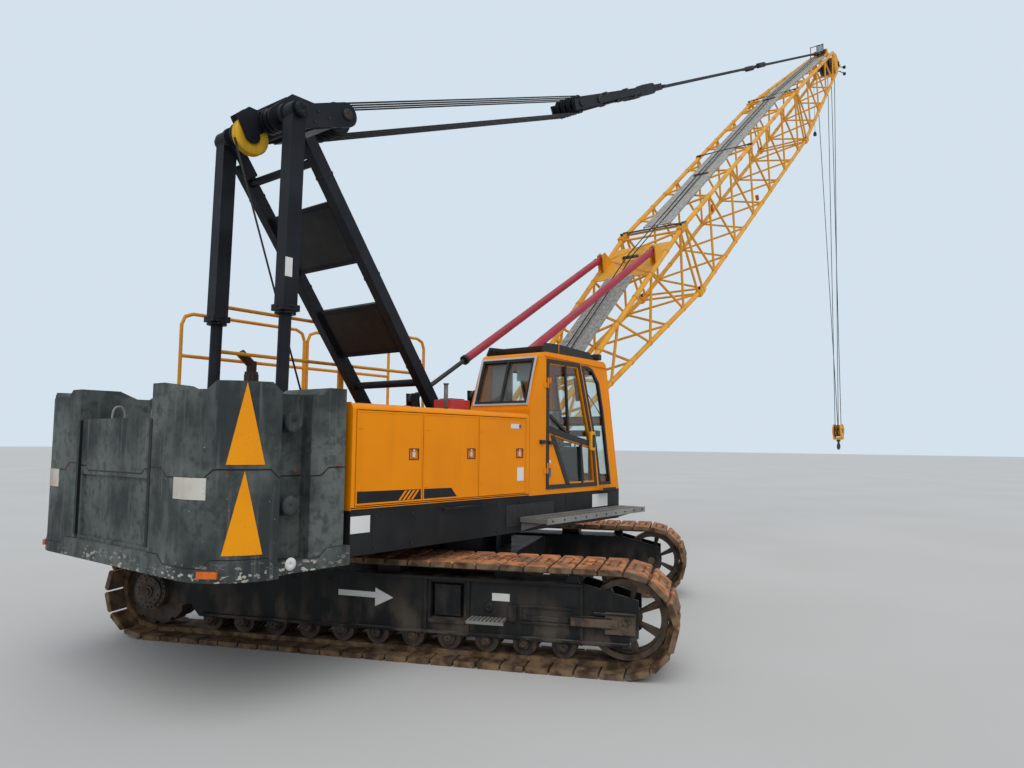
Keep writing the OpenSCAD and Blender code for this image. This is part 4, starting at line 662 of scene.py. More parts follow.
for name, flip, x0 in DOORS:
    name, x1 = "door_" + name, x0 + DOOR_L
    skin = Form(flip)
    skin.border(rect(x0, DOOR_LOW, x1, DOOR_HIGH), WALL - 0.003, WALL + SUNK, 0.016)
    for points, lift, mat in ((BAND, 0.0022, 1), *((slash, 0.0034, 0) for slash in SLASHES)):
        ends = [(skin.at @ Vector((x, 0, 0)), way) for x, way in ((x0, -1), (x1, 1))]
        faces = cut(skin, skin.outline(points, WALL - lift, "y"), ends, clear_outer=True)
        if faces:
            skin.thicken(faces, lift + SUNK, "y", mat)
    # Latch in its square recess
    lx, lz = x1 - 0.115, 1.956
    skin.border(rect(lx - 0.062, lz - 0.052, lx + 0.062, lz + 0.052), WALL - 0.004, WALL + SUNK, 0.008, mat=2)
    skin.tag(lx - 0.016, lz - 0.032, lx + 0.016, lz + 0.020, 0.004, 3, 0.003, 0.008)
    skin.turned([(-0.012, CORE), (0.006, CORE), (0.006, 0.010), (-0.012, 0.012)], (lx, WALL, lz + 0.034),
                OUT, 3, 16)
    for z in (DOOR_LOW + 0.12, DOOR_HIGH - 0.16):
        skin.tag(x0 + 0.012, z, x0 + 0.075, z + 0.05, 0.004, 0, 0.002, 0.002)
    if name == "door_right_front":
        skin.tag(-0.53, 2.225, -0.38, 2.275, 0.003, 4)
        skin.tag(-0.41, 1.655, -0.295, 1.80, 0.003, 4)
        skin.tag(-0.385, 2.232, -0.345, 2.268, 0.0045, 5)
    skin.done(name + "_skin", "body_paint label_black rubber chrome label_white label_blue", name)

# Fixed stripes on the housings, then rain edge and hatches on their roofs
for side, flip in SIDES:
    lines = Form(flip)
    front_x = HOUSING_FRONT if side == "right" else LEFT_FRONT
    for z in (1.4815, 1.4985):
        lines.tag(HOUSING_REAR + 0.002, z, front_x - 0.002, z + 0.008, 0.0022)
    if side == "left":
        lines.border(rect(-0.15, DOOR_LOW, 0.40, DOOR_HIGH), WALL - 0.003, WALL + SUNK, 0.014, mat=1)
    lines.done("side_lines_" + side, "label_black body_paint", slot="body_paint")

    roof = Form(flip)
    roof.box((HOUSING_REAR, WALL + 0.03, HOUSING_TOP), (HOUSING_REAR + 0.012, -INNER_Y, HOUSING_TOP + 0.008),
             0, 0.002)
    for x0, x1 in ((-2.5, -1.85), (-1.45, -0.75)):
        roof.box((x0, -1.30, HOUSING_TOP - 0.002), (x1, -0.86, HOUSING_TOP + 0.014), 0, 0.005)
        for x in (x0 + 0.04, x1 - 0.04):
            for y in (-1.26, -0.90):
                roof.bolt((x, y, HOUSING_TOP + 0.014), UP, 0.009, 0.007, 1)
    roof.done("roof_fittings_" + side, "body_paint guard_black")

# Rear wall of the housings: grilles above the counterweight's side
for side, flip in SIDES:
    rear = Form(flip)
    for i in range(6):
        z = 2.10 + i * 0.035
        rear.plate([(HOUSING_REAR - 0.012, z), (HOUSING_REAR + 0.002, z + 0.004),
                    (HOUSING_REAR + 0.002, z + 0.022)], -1.30, -0.86)
    rear.done("rear_louvres_" + side, "body_paint")

# Deck skirt: blank labels, bolts, joints, a dark panel and the step under the cab's door
skirt = Form()
skirt.tag(-2.728, 1.288, -2.512, 1.432, 0.004, 1)
skirt.tag(1.15, 1.275, 1.52, 1.435, 0.004, 1)
for x in (-2.45, -2.0, -0.75, -0.35):
    for z in (1.14, 1.42):
        skirt.bolt((x, WALL, z), OUT, 0.011, 0.009, 2)
for x in (-2.48, -0.60, 0.55):
    skirt.tag(x - 0.003, DECK_Z + 0.01, x + 0.003, DECK_TOP - 0.01, 0.003)
skirt.tag(-0.60, 1.17, 0.30, 1.40, 0.002, 3)
skirt.tag(1.27, 1.466, 1.575, 1.480, 0.10, 0, 0.003)
skirt.tag(1.27, 1.466, 1.575, 1.515, 0.10, 0, 0.003, -0.088)
skirt.done("skirt_fittings", "frame_paint label_white dark_bolt rubber")

# Cab: outlines of the side openings from the cab's lower rear corner, and of the leaning walls
DOOR = [(0.29, 0.07), (1.39, 0.07), (1.31, 0.58), (0.97, 1.559), (0.29, 1.559)]
PANE_HIGH = [(0.345, 0.744), (1.25, 0.59), (0.932, 1.509), (0.345, 1.509)]
PANE_LOW = [(0.74, 0.125), (1.335, 0.125), (1.262, 0.53), (0.39, 0.676)]
QUARTER = [(1.45, 0.08), (1.735, 0.08), (1.545, 1.0), (1.44, 1.35), (1.30, 1.514), (1.19, 1.544),
           (1.035, 1.544), (1.37, 0.585)]
SILL_Z, SILL_X, PANE_Z, REAR_SHIFT, FRONT_SHIFT = 2.448, -0.185, 2.53, 0.205, 0.33


def on_cab(points, grow=0.0):
    """Points on the cab's side, moved away from their middle along x and z."""
    centre = Vector((sum(p for p, _ in points), sum(q for _, q in points))) / len(points)
    return [(CAB_REAR + p + math.copysign(grow, p - centre.x),
             DECK_TOP + q + math.copysign(grow, q - centre.y)) for p, q in points]


seals = Form()
seals.border(on_cab(QUARTER, 0.012), WALL - 0.006, WALL + 0.03, 0.034)
seals.border(on_cab(DOOR, 0.010), WALL - 0.002, WALL + 0.004, 0.014)
for pane, width in ((QUARTER, 0.028), (PANE_HIGH, 0.030)):
    seals.border(on_cab(pane, 0.008), CAB_IN + 0.005, CAB_IN - 0.03, width)
seals.done("cab_seals", "rubber", slot="guard_black")

# Rear window's chrome frame and its two panes' meeting bar, on the leaning rear wall
lean = math.atan2(REAR_SHIFT, CAB_TOP - SILL_Z)
rear = Form(leaning((SILL_X + math.tan(lean) * (PANE_Z - SILL_Z), 0, PANE_Z), -lean))
top = (CAB_TOP - 0.09 - PANE_Z) / math.cos(lean)
rear.border(rect(-1.462, -0.034, -0.648, top + 0.030), -0.012, 0.004, 0.022, "x", 1)
rear.border(rect(-1.438, -0.010, -0.672, top + 0.006), -0.008, 0.03, 0.030, "x")
rear.box((-0.010, -1.075, 0.01), (0.025, -1.045, top - 0.01), 0, 0.003)
rear.done("rear_window_frame", "rubber chrome", slot="guard_black")

# Front windows' rubbers and the wiper, on the leaning front
lean = math.atan2(FRONT_SHIFT, CAB_TOP - DECK_TOP)
front = Form(leaning((CAB_FRONT, 0, DECK_TOP), lean))
for low, high in ((0.160, 0.878), (0.940, 1.560)):
    front.border(rect(-1.442, low, -0.668, high), -0.03, 0.008, 0.030, "x")
front.pipe([(0.012, -1.36, 0.905), (0.045, -1.34, 0.95), (0.035, -1.05, 1.42)], 0.007)
front.box((0.012, -1.14, 1.18), (0.020, -0.96, 1.50), 0, 0.002)
front.rod((0.0, -1.36, 0.905), (0.04, -1.36, 0.905), 0.022)
front.done("front_window_fittings", "rubber", slot="guard_black")

# Door stop, work lamps, roof lip and horn
trim = Form()
trim.tag(CAB_REAR + 0.145, 2.06, CAB_REAR + 0.235, 2.105, 0.030, 2, 0.006, 0.002)
for y in (-1.36, -0.76):
    trim.box((1.42, y - 0.07, CAB_TOP + 0.03), (1.50, y + 0.07, CAB_TOP + 0.11), 2, 0.012)
    trim.box((1.499, y - 0.058, CAB_TOP + 0.042), (1.506, y + 0.058, CAB_TOP + 0.098), 3, 0.003)
    trim.box((1.44, y - 0.012, CAB_TOP - 0.02), (1.48, y + 0.012, CAB_TOP + 0.04), 2)
lip = ((0.10, 0.052), (0.12, 0.036), (1.44, 0.060), (1.50, 0.085))
trim.plate([(x, CAB_TOP - down) for x, down in lip], WALL - 0.016, WALL + 0.004)
for low, high, r, count in ((0, 0.15, 0.012, 10), (0.14, 0.20, 0.022, 12)):
    trim.rod((0.42, WALL + 0.03, CAB_TOP + low), (0.42, WALL + 0.03, CAB_TOP + high), r, 0, count)
trim.done("cab_trim", "body_paint rail_paint guard_black lamp_glass")

# Cab door: black frame bars, panes, handle and latch
door = Form()
door.border(on_cab(DOOR, -0.012), WALL - 0.010, WALL + 0.004, 0.050)
for bar, out, into in (
        ([(0.30, 0.80), (0.74, 0.70), (1.29, 0.612), (1.29, 0.545), (0.74, 0.63), (0.30, 0.715)],
         0.012, 0.002),
        ([(0.655, 1.52), (0.685, 1.52), (0.760, 0.69), (0.725, 0.69)], 0.008, 0.018),
        ([(0.335, 0.90), (0.36, 0.93), (0.76, 0.71), (0.72, 0.70)], 0.008, 0.018),
        ([(0.36, 0.68), (0.44, 0.68), (0.77, 0.10), (0.69, 0.10)], 0.010, 0.004),
        ([(1.0, 0.65), (1.04, 0.65), (1.08, 0.10), (1.04, 0.10)], 0.006, 0.018)):
    door.plate(on_cab(bar), WALL - out, WALL + into)
for pane in (PANE_HIGH, PANE_LOW):
    door.plate(on_cab(pane, 0.004), WALL + 0.021, WALL + 0.029, mat=1)
for x0, z0, x1, z1, out, mat, soft, into in (
        (1.19, 0.50, 1.30, 0.74, 0.050, 2, 0.016, -0.006),
        (1.215, 0.54, 1.275, 0.70, 0.058, 0, 0.006, -0.046),
        (0.315, 0.575, 0.40, 0.615, 0.030, 0, 0.006, -0.004),
        (0.325, 0.20, 0.375, 0.31, 0.003, 3, 0, SUNK),
        (0.325, 0.34, 0.375, 0.39, 0.003, 4, 0, SUNK)):
    door.tag(CAB_REAR + x0, DECK_TOP + z0, CAB_REAR + x1, DECK_TOP + z1, out, mat, soft, into)
door.done("cab_door_dress", "rubber window_glass rail_paint label_blue label_white", "cab_door",
          slot="guard_black")

# Inside the cab: padded seat, consoles, levers, dash, screen and blinds
SEAT_X, SEAT_Y, FLOOR_Z = 0.69, -1.055, DECK_TOP + 0.0603
PAD_FRAMES, PAD_CAP, PAD_INSET, PAD_SOFT, PAD_VOXEL = 20, 0.010, 0.008, 0.026, 0.012


def applied(piece):
    """Puts what the piece's modifiers give into its mesh."""
    shown = piece.evaluated_get(bpy.context.evaluated_depsgraph_get())
    mesh = bpy.data.meshes.new_from_object(shown)
    piece.modifiers.clear()
    piece.data = mesh


def pad(name, low, high):
    """A cushion blown up by a short cloth run, kept inside the space of its solid."""
    low, high = Vector(low), Vector(high)
    inset = Vector((PAD_INSET, PAD_INSET, PAD_INSET))
    shape = Form()
    shape.box(low + inset, high - inset, 0, PAD_SOFT)
    piece = shape.done(name, "seat_cloth")
    voxels = piece.modifiers.new("voxels", "REMESH")
    voxels.voxel_size = PAD_VOXEL
    applied(piece)
    start = [v.co.copy() for v in piece.data.vertices]
    cloth = piece.modifiers.new("cloth", "CLOTH")
    cloth.settings.use_pressure = True
    cloth.settings.uniform_pressure_force = 4
    cloth.settings.effector_weights.gravity = 0
    for step in range(1, PAD_FRAMES + 1):
        bpy.context.scene.frame_set(step)
    applied(piece)
    bpy.context.scene.frame_set(1)
    for vert, old in zip(piece.data.vertices, start):
        move = vert.co - old
        if move.length > PAD_CAP:
            vert.co = old + move.normalized() * PAD_CAP
        for axis in range(3):
            vert.co[axis] = min(max(vert.co[axis], low[axis]), high[axis])
    for face in piece.data.polygons:
        face.use_smooth = True
    finer = piece.modifiers.new("finer", "SUBSURF")
    finer.levels = finer.render_levels = 1
    return piece


cushion = pad("seat_cushion", (0.49, -1.295, 1.822), (0.97, -0.815, 1.941))
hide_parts("cab_seat")
pad("seat_back", (0.445, -1.285, 1.945), (0.56, -0.825, 2.541))
pad("seat_headrest", (0.46, -1.185, 2.556), (0.54, -0.925, 2.721))

inside = Form()
# Seat's foot with its bellows, pan, back shell and headrest stays
for i in range(5):
    z = FLOOR_Z + 0.02 + i * 0.045
    inside.box((SEAT_X - 0.12, SEAT_Y - 0.15, z), (SEAT_X + 0.20, SEAT_Y + 0.15, z + 0.034), 1, 0.012)
inside.box((SEAT_X - 0.10, SEAT_Y - 0.13, FLOOR_Z), (SEAT_X + 0.18, SEAT_Y + 0.13, 1.82), 0)
inside.box((SEAT_X - 0.19, SEAT_Y - 0.225, 1.790), (SEAT_X + 0.26, SEAT_Y + 0.225, 1.824), 0, 0.010)
inside.box((0.441, SEAT_Y - 0.20, 1.80), (0.451, SEAT_Y + 0.20, 2.50), 0, 0.004)
for y in (-0.07, 0.07):
    inside.rod((0.50, SEAT_Y + y, 2.52), (0.50, SEAT_Y + y, 2.58), 0.008, 0, 10)
# Welts along the cushion's and the back's edges
for x, z, half in ((0.50, 1.925, 0.22), (0.965, 1.925, 0.22), (0.552, 1.96, 0.21), (0.552, 2.525, 0.21)):
    inside.rod((x, SEAT_Y - half, z), (x, SEAT_Y + half, z), 0.004, 1, 8)
for y in (SEAT_Y - 0.31, SEAT_Y + 0.31):
    # Console with its arm rest, levers and keys
    inside.box((SEAT_X - 0.16, y - 0.065, FLOOR_Z), (SEAT_X + 0.33, y + 0.065, 2.03), 0, 0.018)
    inside.box((SEAT_X - 0.15, y - 0.060, 2.035), (SEAT_X + 0.10, y + 0.060, 2.078), 0, 0.016)
    for x in (SEAT_X + 0.16, SEAT_X + 0.26):
        inside.pipe([(x, y, 2.02), (x + 0.015, y, 2.15)], 0.009)
        inside.turned([(-0.03, CORE), (-0.03, 0.012), (0.0, 0.024), (0.03, 0.018), (0.04, CORE)],
                      (x + 0.017, y, 2.17), (0.1, 0, 1), 0, 16)
# Dash and its post, screen with its glass, pedals and blinds
for low, high, mat, soft in (((1.30, -1.40, 0.62), (1.52, -0.72, 0.70), 0, 0.018),
                             ((1.34, -1.39, 0), (1.42, -1.31, 0.64), 0, 0.01),
                             ((1.33, -0.88, 0.70), (1.38, -0.70, 0.98), 0, 0.012),
                             ((1.326, -0.87, 0.72), (1.331, -0.71, 0.96), 2, 0)):
    inside.box(Vector(low) + Vector((0, 0, FLOOR_Z)), Vector(high) + Vector((0, 0, FLOOR_Z)), mat, soft)
for y in (-1.22, -0.98):
    inside.box((1.30, y - 0.05, FLOOR_Z + 0.02), (1.48, y + 0.05, FLOOR_Z + 0.05), 0, 0.008)
    inside.rod((1.40, y, FLOOR_Z + 0.03), (1.34, y, FLOOR_Z + 0.40), 0.010, 0, 10)
inside.box((0.10, -1.03, 2.50), (0.108, -0.72, 3.02), 3)
inside.box((0.10, -1.40, 2.80), (0.108, -1.10, 3.02), 3)
inside.done("cab_inside", "guard_black rubber lamp_glass blind_cloth")

# Gantry head: sheave rims, pins, keeper plates and cross rods
FALLS_Y = (-0.162, -0.054, 0.054, 0.162)
BLOCK_X, BLOCK_R, BRIDLE_R = 0.89, 0.150, 0.120


def rims(form, centre, r, places):
    """Two flanges with a groove between them, round each plain sheave."""
    flange = ((0.018, -0.03), (0.027, -0.03), (0.030, 0.020), (0.024, 0.024), (0.013, 0.001), (0.018, -0.01))
    for y in places:
        for s in (-1, 1):
            form.turned([(a * s, r + b) for a, b in flange], Vector(centre) + Vector((0, y, 0)), ACROSS)


head = Form(FALLS)
rims(head, (BLOCK_X, 0, 0), BLOCK_R, FALLS_Y)
for y in (-0.352, 0.352):
    head.disc((BLOCK_X, y, 0), ACROSS, (-0.007, 0.007), (CORE, 0.062), 1)
    head.bolts((BLOCK_X, y, 0), outward(y), 0.045, 6, 0.006, 0.010, 1)
for y in (-0.345, 0.345):
    for x, z in ((0.25, 0.14), (0.35, 0.11), (0.50, 0.05), (0.62, -0.03), (0.20, -0.06), (0.42, -0.05)):
        head.bolt((x, y, z), outward(y), mat=1)
for x, z in ((0.44, 0.10), (0.70, -0.09), (0.28, -0.08)):
    head.rod((x, -0.32, z), (x, 0.32, z), 0.020, 1)
head.done("gantry_head", "gantry_paint dark_bolt", "gantry_block")


# The falls between the gantry block and the bridle
def falls_ropes(name, body, start, r):
    """Eight ropes that run from a place along the falls to the bridle's sheaves."""
    ropes = Form(FALLS)
    end_z = BRIDLE_R + ROPE_OFF
    rise = (BLOCK_R - BRIDLE_R) * (FALLS_L - start) / (FALLS_L - BLOCK_X)
    for y in FALLS_Y:
        for u in (-1, 1):
            ropes.rod((start, y, u * (end_z + rise)), (FALLS_L, y, u * end_z), r, 0, 8)
    return ropes.done(name, "rope_steel", body)


falls_piece = falls_ropes("falls_ropes", "gantry_block", BLOCK_X, ROPE_R)
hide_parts("suspension_falls")
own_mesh(falls_piece)
# The same ropes' last metre at the bridle, which reaches into the falls when the boom is low
falls_ropes("falls_rope_ends", "boom", FALLS_L - 1.05, 0.0085)

# Bridle and pendants: rims, pin heads, link pins and the pendants' sleeves
bridle = Form(PENDANTS)
rims(bridle, (0, 0, 0), BRIDLE_R, FALLS_Y)
for x in (0.0, 0.61):
    for y in (-0.237, 0.237):
        bridle.disc((x, y, 0), ACROSS, (-0.007, 0.007), (CORE, 0.058))
for y in (-0.150, 0.150):
    bridle.box((0.54, y - 0.028, -0.07), (0.80, y + 0.028, 0.07), 0, 0.01)
    for x in (2.92, 3.20, 9.62, 9.90):
        bridle.disc((x, y, 0), ACROSS, (-0.044, 0.044), (CORE, 0.030), 1, 16)
    for x, r in ((0.82, 0.042), (2.60, 0.042), (3.33, 0.030), (9.27, 0.030), (10.03, 0.030), (16.28, 0.030)):
        bridle.rod((x, y, 0), (x + 0.20, y, 0), r, 0, 12)
    # Long link plates with their rounded end block, and the ropes' tails between them
    for off in (-0.048, 0.048):
        bridle.plate([(0.50, -0.068), (2.34, -0.046), (2.34, 0.046), (0.50, 0.068)],
                     y + off - 0.006, y + off + 0.006)
    half_block = [(2.28, 0.045), (2.34, 0.085), (2.42, 0.098), (2.84, 0.098), (2.92, 0.080), (2.96, 0.040)]
    bridle.plate([(x, -z) for x, z in half_block] + half_block[::-1], y - 0.056, y + 0.056)
    for off, z, x in ((-0.025, 0.058, 2.2), (0.02, 0.066, 1.9), (0.0, -0.062, 2.0), (0.03, -0.055, 1.6)):
        bridle.rod((-0.05, y + off, z * 1.7), (x, y + off, z), 0.012, 2, 8)
    for x, z in ((0.95, 0.082), (1.35, -0.078), (1.75, 0.074), (2.05, -0.066)):
        bridle.box((x, y - 0.040, z - 0.022), (x + 0.09, y + 0.040, z + 0.022), 1, 0.006)
bridle.done("bridle_fittings", "gantry_paint dark_bolt rope_steel", "boom")

# Gantry frame: lead sheave, axle caps, collar rings and foot pins of the rear legs, blank label
frame_top = Form()
lead_rim = [(-0.034, 0.028), (-0.034, 0.168), (-0.026, 0.186), (-0.012, 0.173)]
frame_top.turned(lead_rim + [(-a, r) for a, r in lead_rim[::-1]], (-2.92, -0.10, 5.02), ACROSS, 1, 40)
for y in (-0.69, 0.69):
    frame_top.disc((AXLE.x, y, AXLE.z), ACROSS, (-0.012, 0.012), (CORE, 0.075))
    frame_top.bolts((AXLE.x, y, AXLE.z), outward(y), 0.058, 6, 0.007, 0.020, 2)
for y in (-0.58, 0.58):
    for z in (3.25, 3.315):
        frame_top.disc((-2.791, y, z), UP, (-0.010, 0.010), (0.055, 0.098))
    frame_top.rod((-2.82, y - 0.09, 1.52), (-2.82, y + 0.09, 1.52), 0.030, 2)
frame_top.box((-2.862, -0.6575, 3.585), (-2.785, -0.6545, 3.765), 3)
frame_top.done("gantry_fittings", "gantry_paint yellow_paint dark_bolt label_white")

# Rope from the falls over the lead sheave down to the boom drum, behind both of them
luff = Form()
luff.rod((-3.089, -0.10, 4.958), (-1.938, -0.10, 1.743), ROPE_R, 0, 8)
luff.rod((-2.985, -0.10, 5.188), (-2.795, -0.19, 5.326), ROPE_R, 0, 8)
luff.done("luffing_rope", "rope_steel")

# Front legs: frames round the blank plates, and ribs
legs = Form(FRONT_LEG)
for a, b in ((0.88, 1.56), (2.03, 2.64)):
    for s in (-1, 1):
        legs.border(rect(a, -0.515, b, 0.515), s * 0.014, s * 0.024, 0.03, "z")
        legs.box((a + 0.06, -0.45, s * 0.0135), (b - 0.06, 0.45, s * 0.0165), 1)
for x in (0.62, 1.72, 2.80, 3.6):
    for y in (-0.57, 0.57):
        legs.box((x, y - 0.060, -0.070), (x + 0.03, y + 0.060, 0.070), 0, 0.003)
legs.done("front_leg_ribs", "gantry_paint label_black")

# Boom: blocks and pins where the sections join, and two side marker plates
joints = Form(BOOM)
for x in BOOM_JOINTS:
    for y in (-0.62, 0.62):
        for z in (-0.6685, 0.6685):
            for near in (x - 0.075, x + 0.045):
                joints.box((near, y - 0.061, z - 0.061), (near + 0.030, y + 0.061, z + 0.061), 0, 0.004)
            joints.rod((x - 0.03, y, z - 0.085), (x - 0.03, y, z + 0.085), 0.024, 1, 12)
            joints.rod((x - 0.03, y, z + 0.085), (x - 0.03, y, z + 0.10), 0.034, 1, 12)
joints.box((8.00, -0.655, 0.35), (8.07, -0.595, 0.49), 2, 0.006)
joints.box((10.70, -0.655, -0.50), (10.78, -0.595, -0.38), 2, 0.006)
joints.done("boom_joint_pins", "boom_paint dark_bolt orange_red", "boom")


def half_size(s, foot, full, tip):
    """Half of the lattice's width or depth along the boom, which narrows in its end sections."""
    first, second = BOOM_JOINTS
    if s < first:
        return foot + (full - foot) * (s - 0.3) / (first - 0.3)
    return full if s < second else full - (full - tip) * (s - second) / 6.08


def half_width(s):
    return half_size(s, 0.455, 0.62, 0.34)


def half_depth(s):
    return half_size(s, 0.07, 0.6685, 0.33)


# Open mesh on the walkway's bars, stretch by stretch
WALK_HALF, WALK_STEP, WALK_OFF, WIRE_R = 0.268, 0.042, 0.050, 0.0075
grate = Form()
for s0, s1 in ((2.30, 4.86), (6.75, 15.48), (15.52, 20.88)):
    rise = half_depth(s1) - half_depth(s0)
    length = math.hypot(s1 - s0, rise)
    start = Vector((s0, 0, half_depth(s0) + WALK_OFF))
    grate.at = BOOM @ leaning(start, math.atan2(rise, s1 - s0))
    for i in range(int((length + 2 * WALK_HALF) / WALK_STEP)):
        x = i * WALK_STEP - 2 * WALK_HALF
        near, far = max(0.0, -x), min(2 * WALK_HALF, length - x)
        if far - near > 0.03:
            for s in (-1, 1):
                grate.rod((x + near, s * (near - WALK_HALF), 0), (x + far, s * (far - WALK_HALF), 0),
                          WIRE_R, 0, 4)
grate.done("walkway_grate", "walk_steel", "boom", slot="walkway_mesh")

# Collars where the lacing meets the chords
collars = Form(BOOM)
for s0, s1, bays in ((0.48, 6.38, 8), (6.62, 15.38, 12), (15.62, 21.52, 8)):
    for i in range(bays + 1):
        x = s0 + (s1 - s0) * i / bays
        for y in (-half_width(x), half_width(x)):
            for z in (-half_depth(x), half_depth(x)):
                collars.rod((x - 0.035, y, z), (x + 0.035, y, z), 0.0505, 0, 12)
# Dark cross bars on the back, at the section joints and between them
for x in (6.60, 11.10, 15.70):
    w, d = half_width(x), half_depth(x)
    collars.box((x - 0.03, -w, d + 0.046), (x + 0.03, w, d + 0.062), 1, 0.003)
    for y in (-w, w):
        collars.box((x - 0.05, y - 0.05, d + 0.030), (x + 0.05, y + 0.05, d + 0.066), 1, 0.004)
collars.done("boom_collars", "boom_paint guard_black", "boom")

# Guide rollers of the hoist rope on the back and their brackets
guide = Form(BOOM)
for x, off in ((5.45, 0.70), (9.5, 0.765), (15.2, 0.765), (21.42, 0.455)):
    guide.rod((x, -0.16, off - 0.035), (x, 0.16, off - 0.035), 0.030, 1, 16)
    for y in (-0.17, 0.17):
        low = min(off - 0.10, half_depth(x) + 0.02)
        guide.box((x - 0.04, y - 0.008, low), (x + 0.04, y + 0.008, off), 0, 0.004)
guide.done("rope_guides", "boom_paint drum_steel", "boom")

# Hoist ropes along the back, and the sheaves at the boom's foot with the ropes to the drums
LINE_Y = (-0.055, 0.055)
line = Form(BOOM)
for y in LINE_Y:
    route = ((0.06, 0.115), (5.45, 0.702), (9.5, 0.768), (15.2, 0.768), (21.42, 0.460), (22.06, 0.122))
    line.pipe([(x, y, z) for x, z in route], ROPE_R, 0, 2, False)
line.done("hoist_lines_on_boom", "rope_steel", "boom")
foot = Form()
foot.rod(FOOT + Vector((0, -0.36, 0)), FOOT + Vector((0, 0.36, 0)), 0.045, 1)
for y in LINE_Y:
    half_rim = [(0.02, 0.118), (0.010, 0.124), (0.004, 0.104)]
    foot.turned([(-0.02, 0.04), (0.02, 0.04), *half_rim, *((-a, r) for a, r in half_rim[::-1])],
                FOOT + Vector((0, y, 0)), ACROSS, 1, 32)
    foot.rod(FOOT + Vector((-0.03, y, 0.108)), Vector((-0.25, y, DRUM_Z + 0.19)), ROPE_R, 0, 8)
foot.done("foot_sheaves", "rope_steel drum_steel")

# Boom head: caps and bolts of the axle, rope guard rods, lamp and wind gauge
GAUGE_AXIS = (0.6, 0, 1)
tip = Form(BOOM)
for y in (-0.36, 0.36):
    s = math.copysign(1, y)
    tip.disc((TIP_X, y + s * 0.01, TIP_Z), ACROSS, (-0.012, 0.012), (CORE, 0.085), 1)
    tip.bolts((TIP_X, y + s * 0.022, TIP_Z), outward(y), 0.065, 6, 0.008, BOLT_H, 1)
    for x, z in ((21.35, 0.28), (21.35, 0.0), (21.35, -0.28), (21.62, -0.22), (21.62, 0.2)):
        tip.bolt((x, y, z), outward(y), 0.014, BOLT_H, 1)
for a in (-65, -20, 112):
    x, z = TIP_X + 0.29 * math.cos(math.radians(a)), TIP_Z + 0.29 * math.sin(math.radians(a))
    tip.rod((x, -0.36, z), (x, 0.36, z), 0.012, 0, 10)
tip.pipe([(22.0, -0.36, -0.24), (22.12, -0.41, -0.30), (22.22, -0.45, -0.34)], 0.014, 2)
tip.turned([(-0.05, CORE), (-0.05, 0.036), (0.0, 0.052), (0.035, 0.046), (0.045, CORE)],
           (22.27, -0.46, -0.35), GAUGE_AXIS, 2, 20)
tip.pipe([(22.0, -0.36, -0.40), (22.06, -0.42, -0.47), (22.13, -0.45, -0.50)], 0.014, 2)
tip.turned([(-0.05, CORE), (-0.05, 0.036), (0.0, 0.050), (0.035, 0.044), (0.045, CORE)],
           (22.14, -0.46, -0.535), GAUGE_AXIS, 2, 20)
# Guard where the pendants pass, on a plate across the upper chords
GUARD_H, GUARD_X, GUARD_Z = 0.435, 21.0, half_depth(21.0) + 0.03
UPWARD = Vector((math.sin(BOOM_ANGLE), 0, math.cos(BOOM_ANGLE)))
tip.box((20.93, -0.27, GUARD_Z), (21.36, 0.27, GUARD_Z + 0.02), 3, 0.004)
for y, r in ((0.215, 0.012), (0.01, 0.020), (-0.04, 0.014), (-0.08, 0.014), (-0.12, 0.014), (-0.17, 0.020)):
    base = Vector((GUARD_X, y, GUARD_Z))
    tip.rod(base, base + UPWARD * GUARD_H, r, 2, 8)
for share in (0.45, 0.97):
    level = Vector((GUARD_X, 0, GUARD_Z)) + UPWARD * GUARD_H * share
    tip.rod(level + Vector((0, -0.17, 0)), level + Vector((0, 0.215, 0)), 0.012, 2, 8)
tip.done("boom_head_fittings", "orange_red dark_bolt guard_black boom_paint", "boom", slot="boom_paint")

wheels = Form(BOOM)
for y in (-0.165, -0.055, 0.055, 0.165):
    for s in (-1, 1):
        flange = ((0.020, 0.22), (0.031, 0.22), (0.033, 0.262), (0.029, 0.266), (0.020, 0.2645))
        wheels.turned([(s * a, r) for a, r in flange], (TIP_X, y, TIP_Z), ACROSS, 0, 40)
wheels.done("tip_sheave_rims", "drum_steel", "tip_sheaves", slot="wheel_steel")

# Falls of the hook, which leave the tip sheaves and the end of their axle
SHEAVE_Z = HOOK_Z + 0.62
hang = Form()
for y, way, y_low in ((-0.165, -1, -0.048), (-0.055, 1, -0.048), (0.055, -1, 0.048), (0.42, 1, 0.048)):
    hang.rod((LINE_X + way * 0.1803, y_low, SHEAVE_Z), (LINE_X, y, TIP.z), ROPE_R, 0, 8)
hang_piece = hang.done("hook_ropes", "rope_steel", "hoist_line")
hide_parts("hoist_rope")
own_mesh(hang_piece)

# Switch weight on its thin line, hung from the end of the head's axle
weight = Form()
weight.rod((TIP.x, 0.385, TIP.z), (TIP.x, 0.455, TIP.z), 0.022, 0, 12)
weight.rod((TIP.x, 0.44, TIP.z), (TIP.x, 0.44, 12.66), 0.005, 0, 6)
weight.turned([(-0.075, CORE), (-0.075, 0.040), (-0.055, 0.056), (0.03, 0.050), (0.075, 0.020),
               (0.080, CORE)], (TIP.x, 0.44, 12.60), UP, 1, 20)
weight.done("switch_weight", "rope_steel guard_black", "hoist_line")

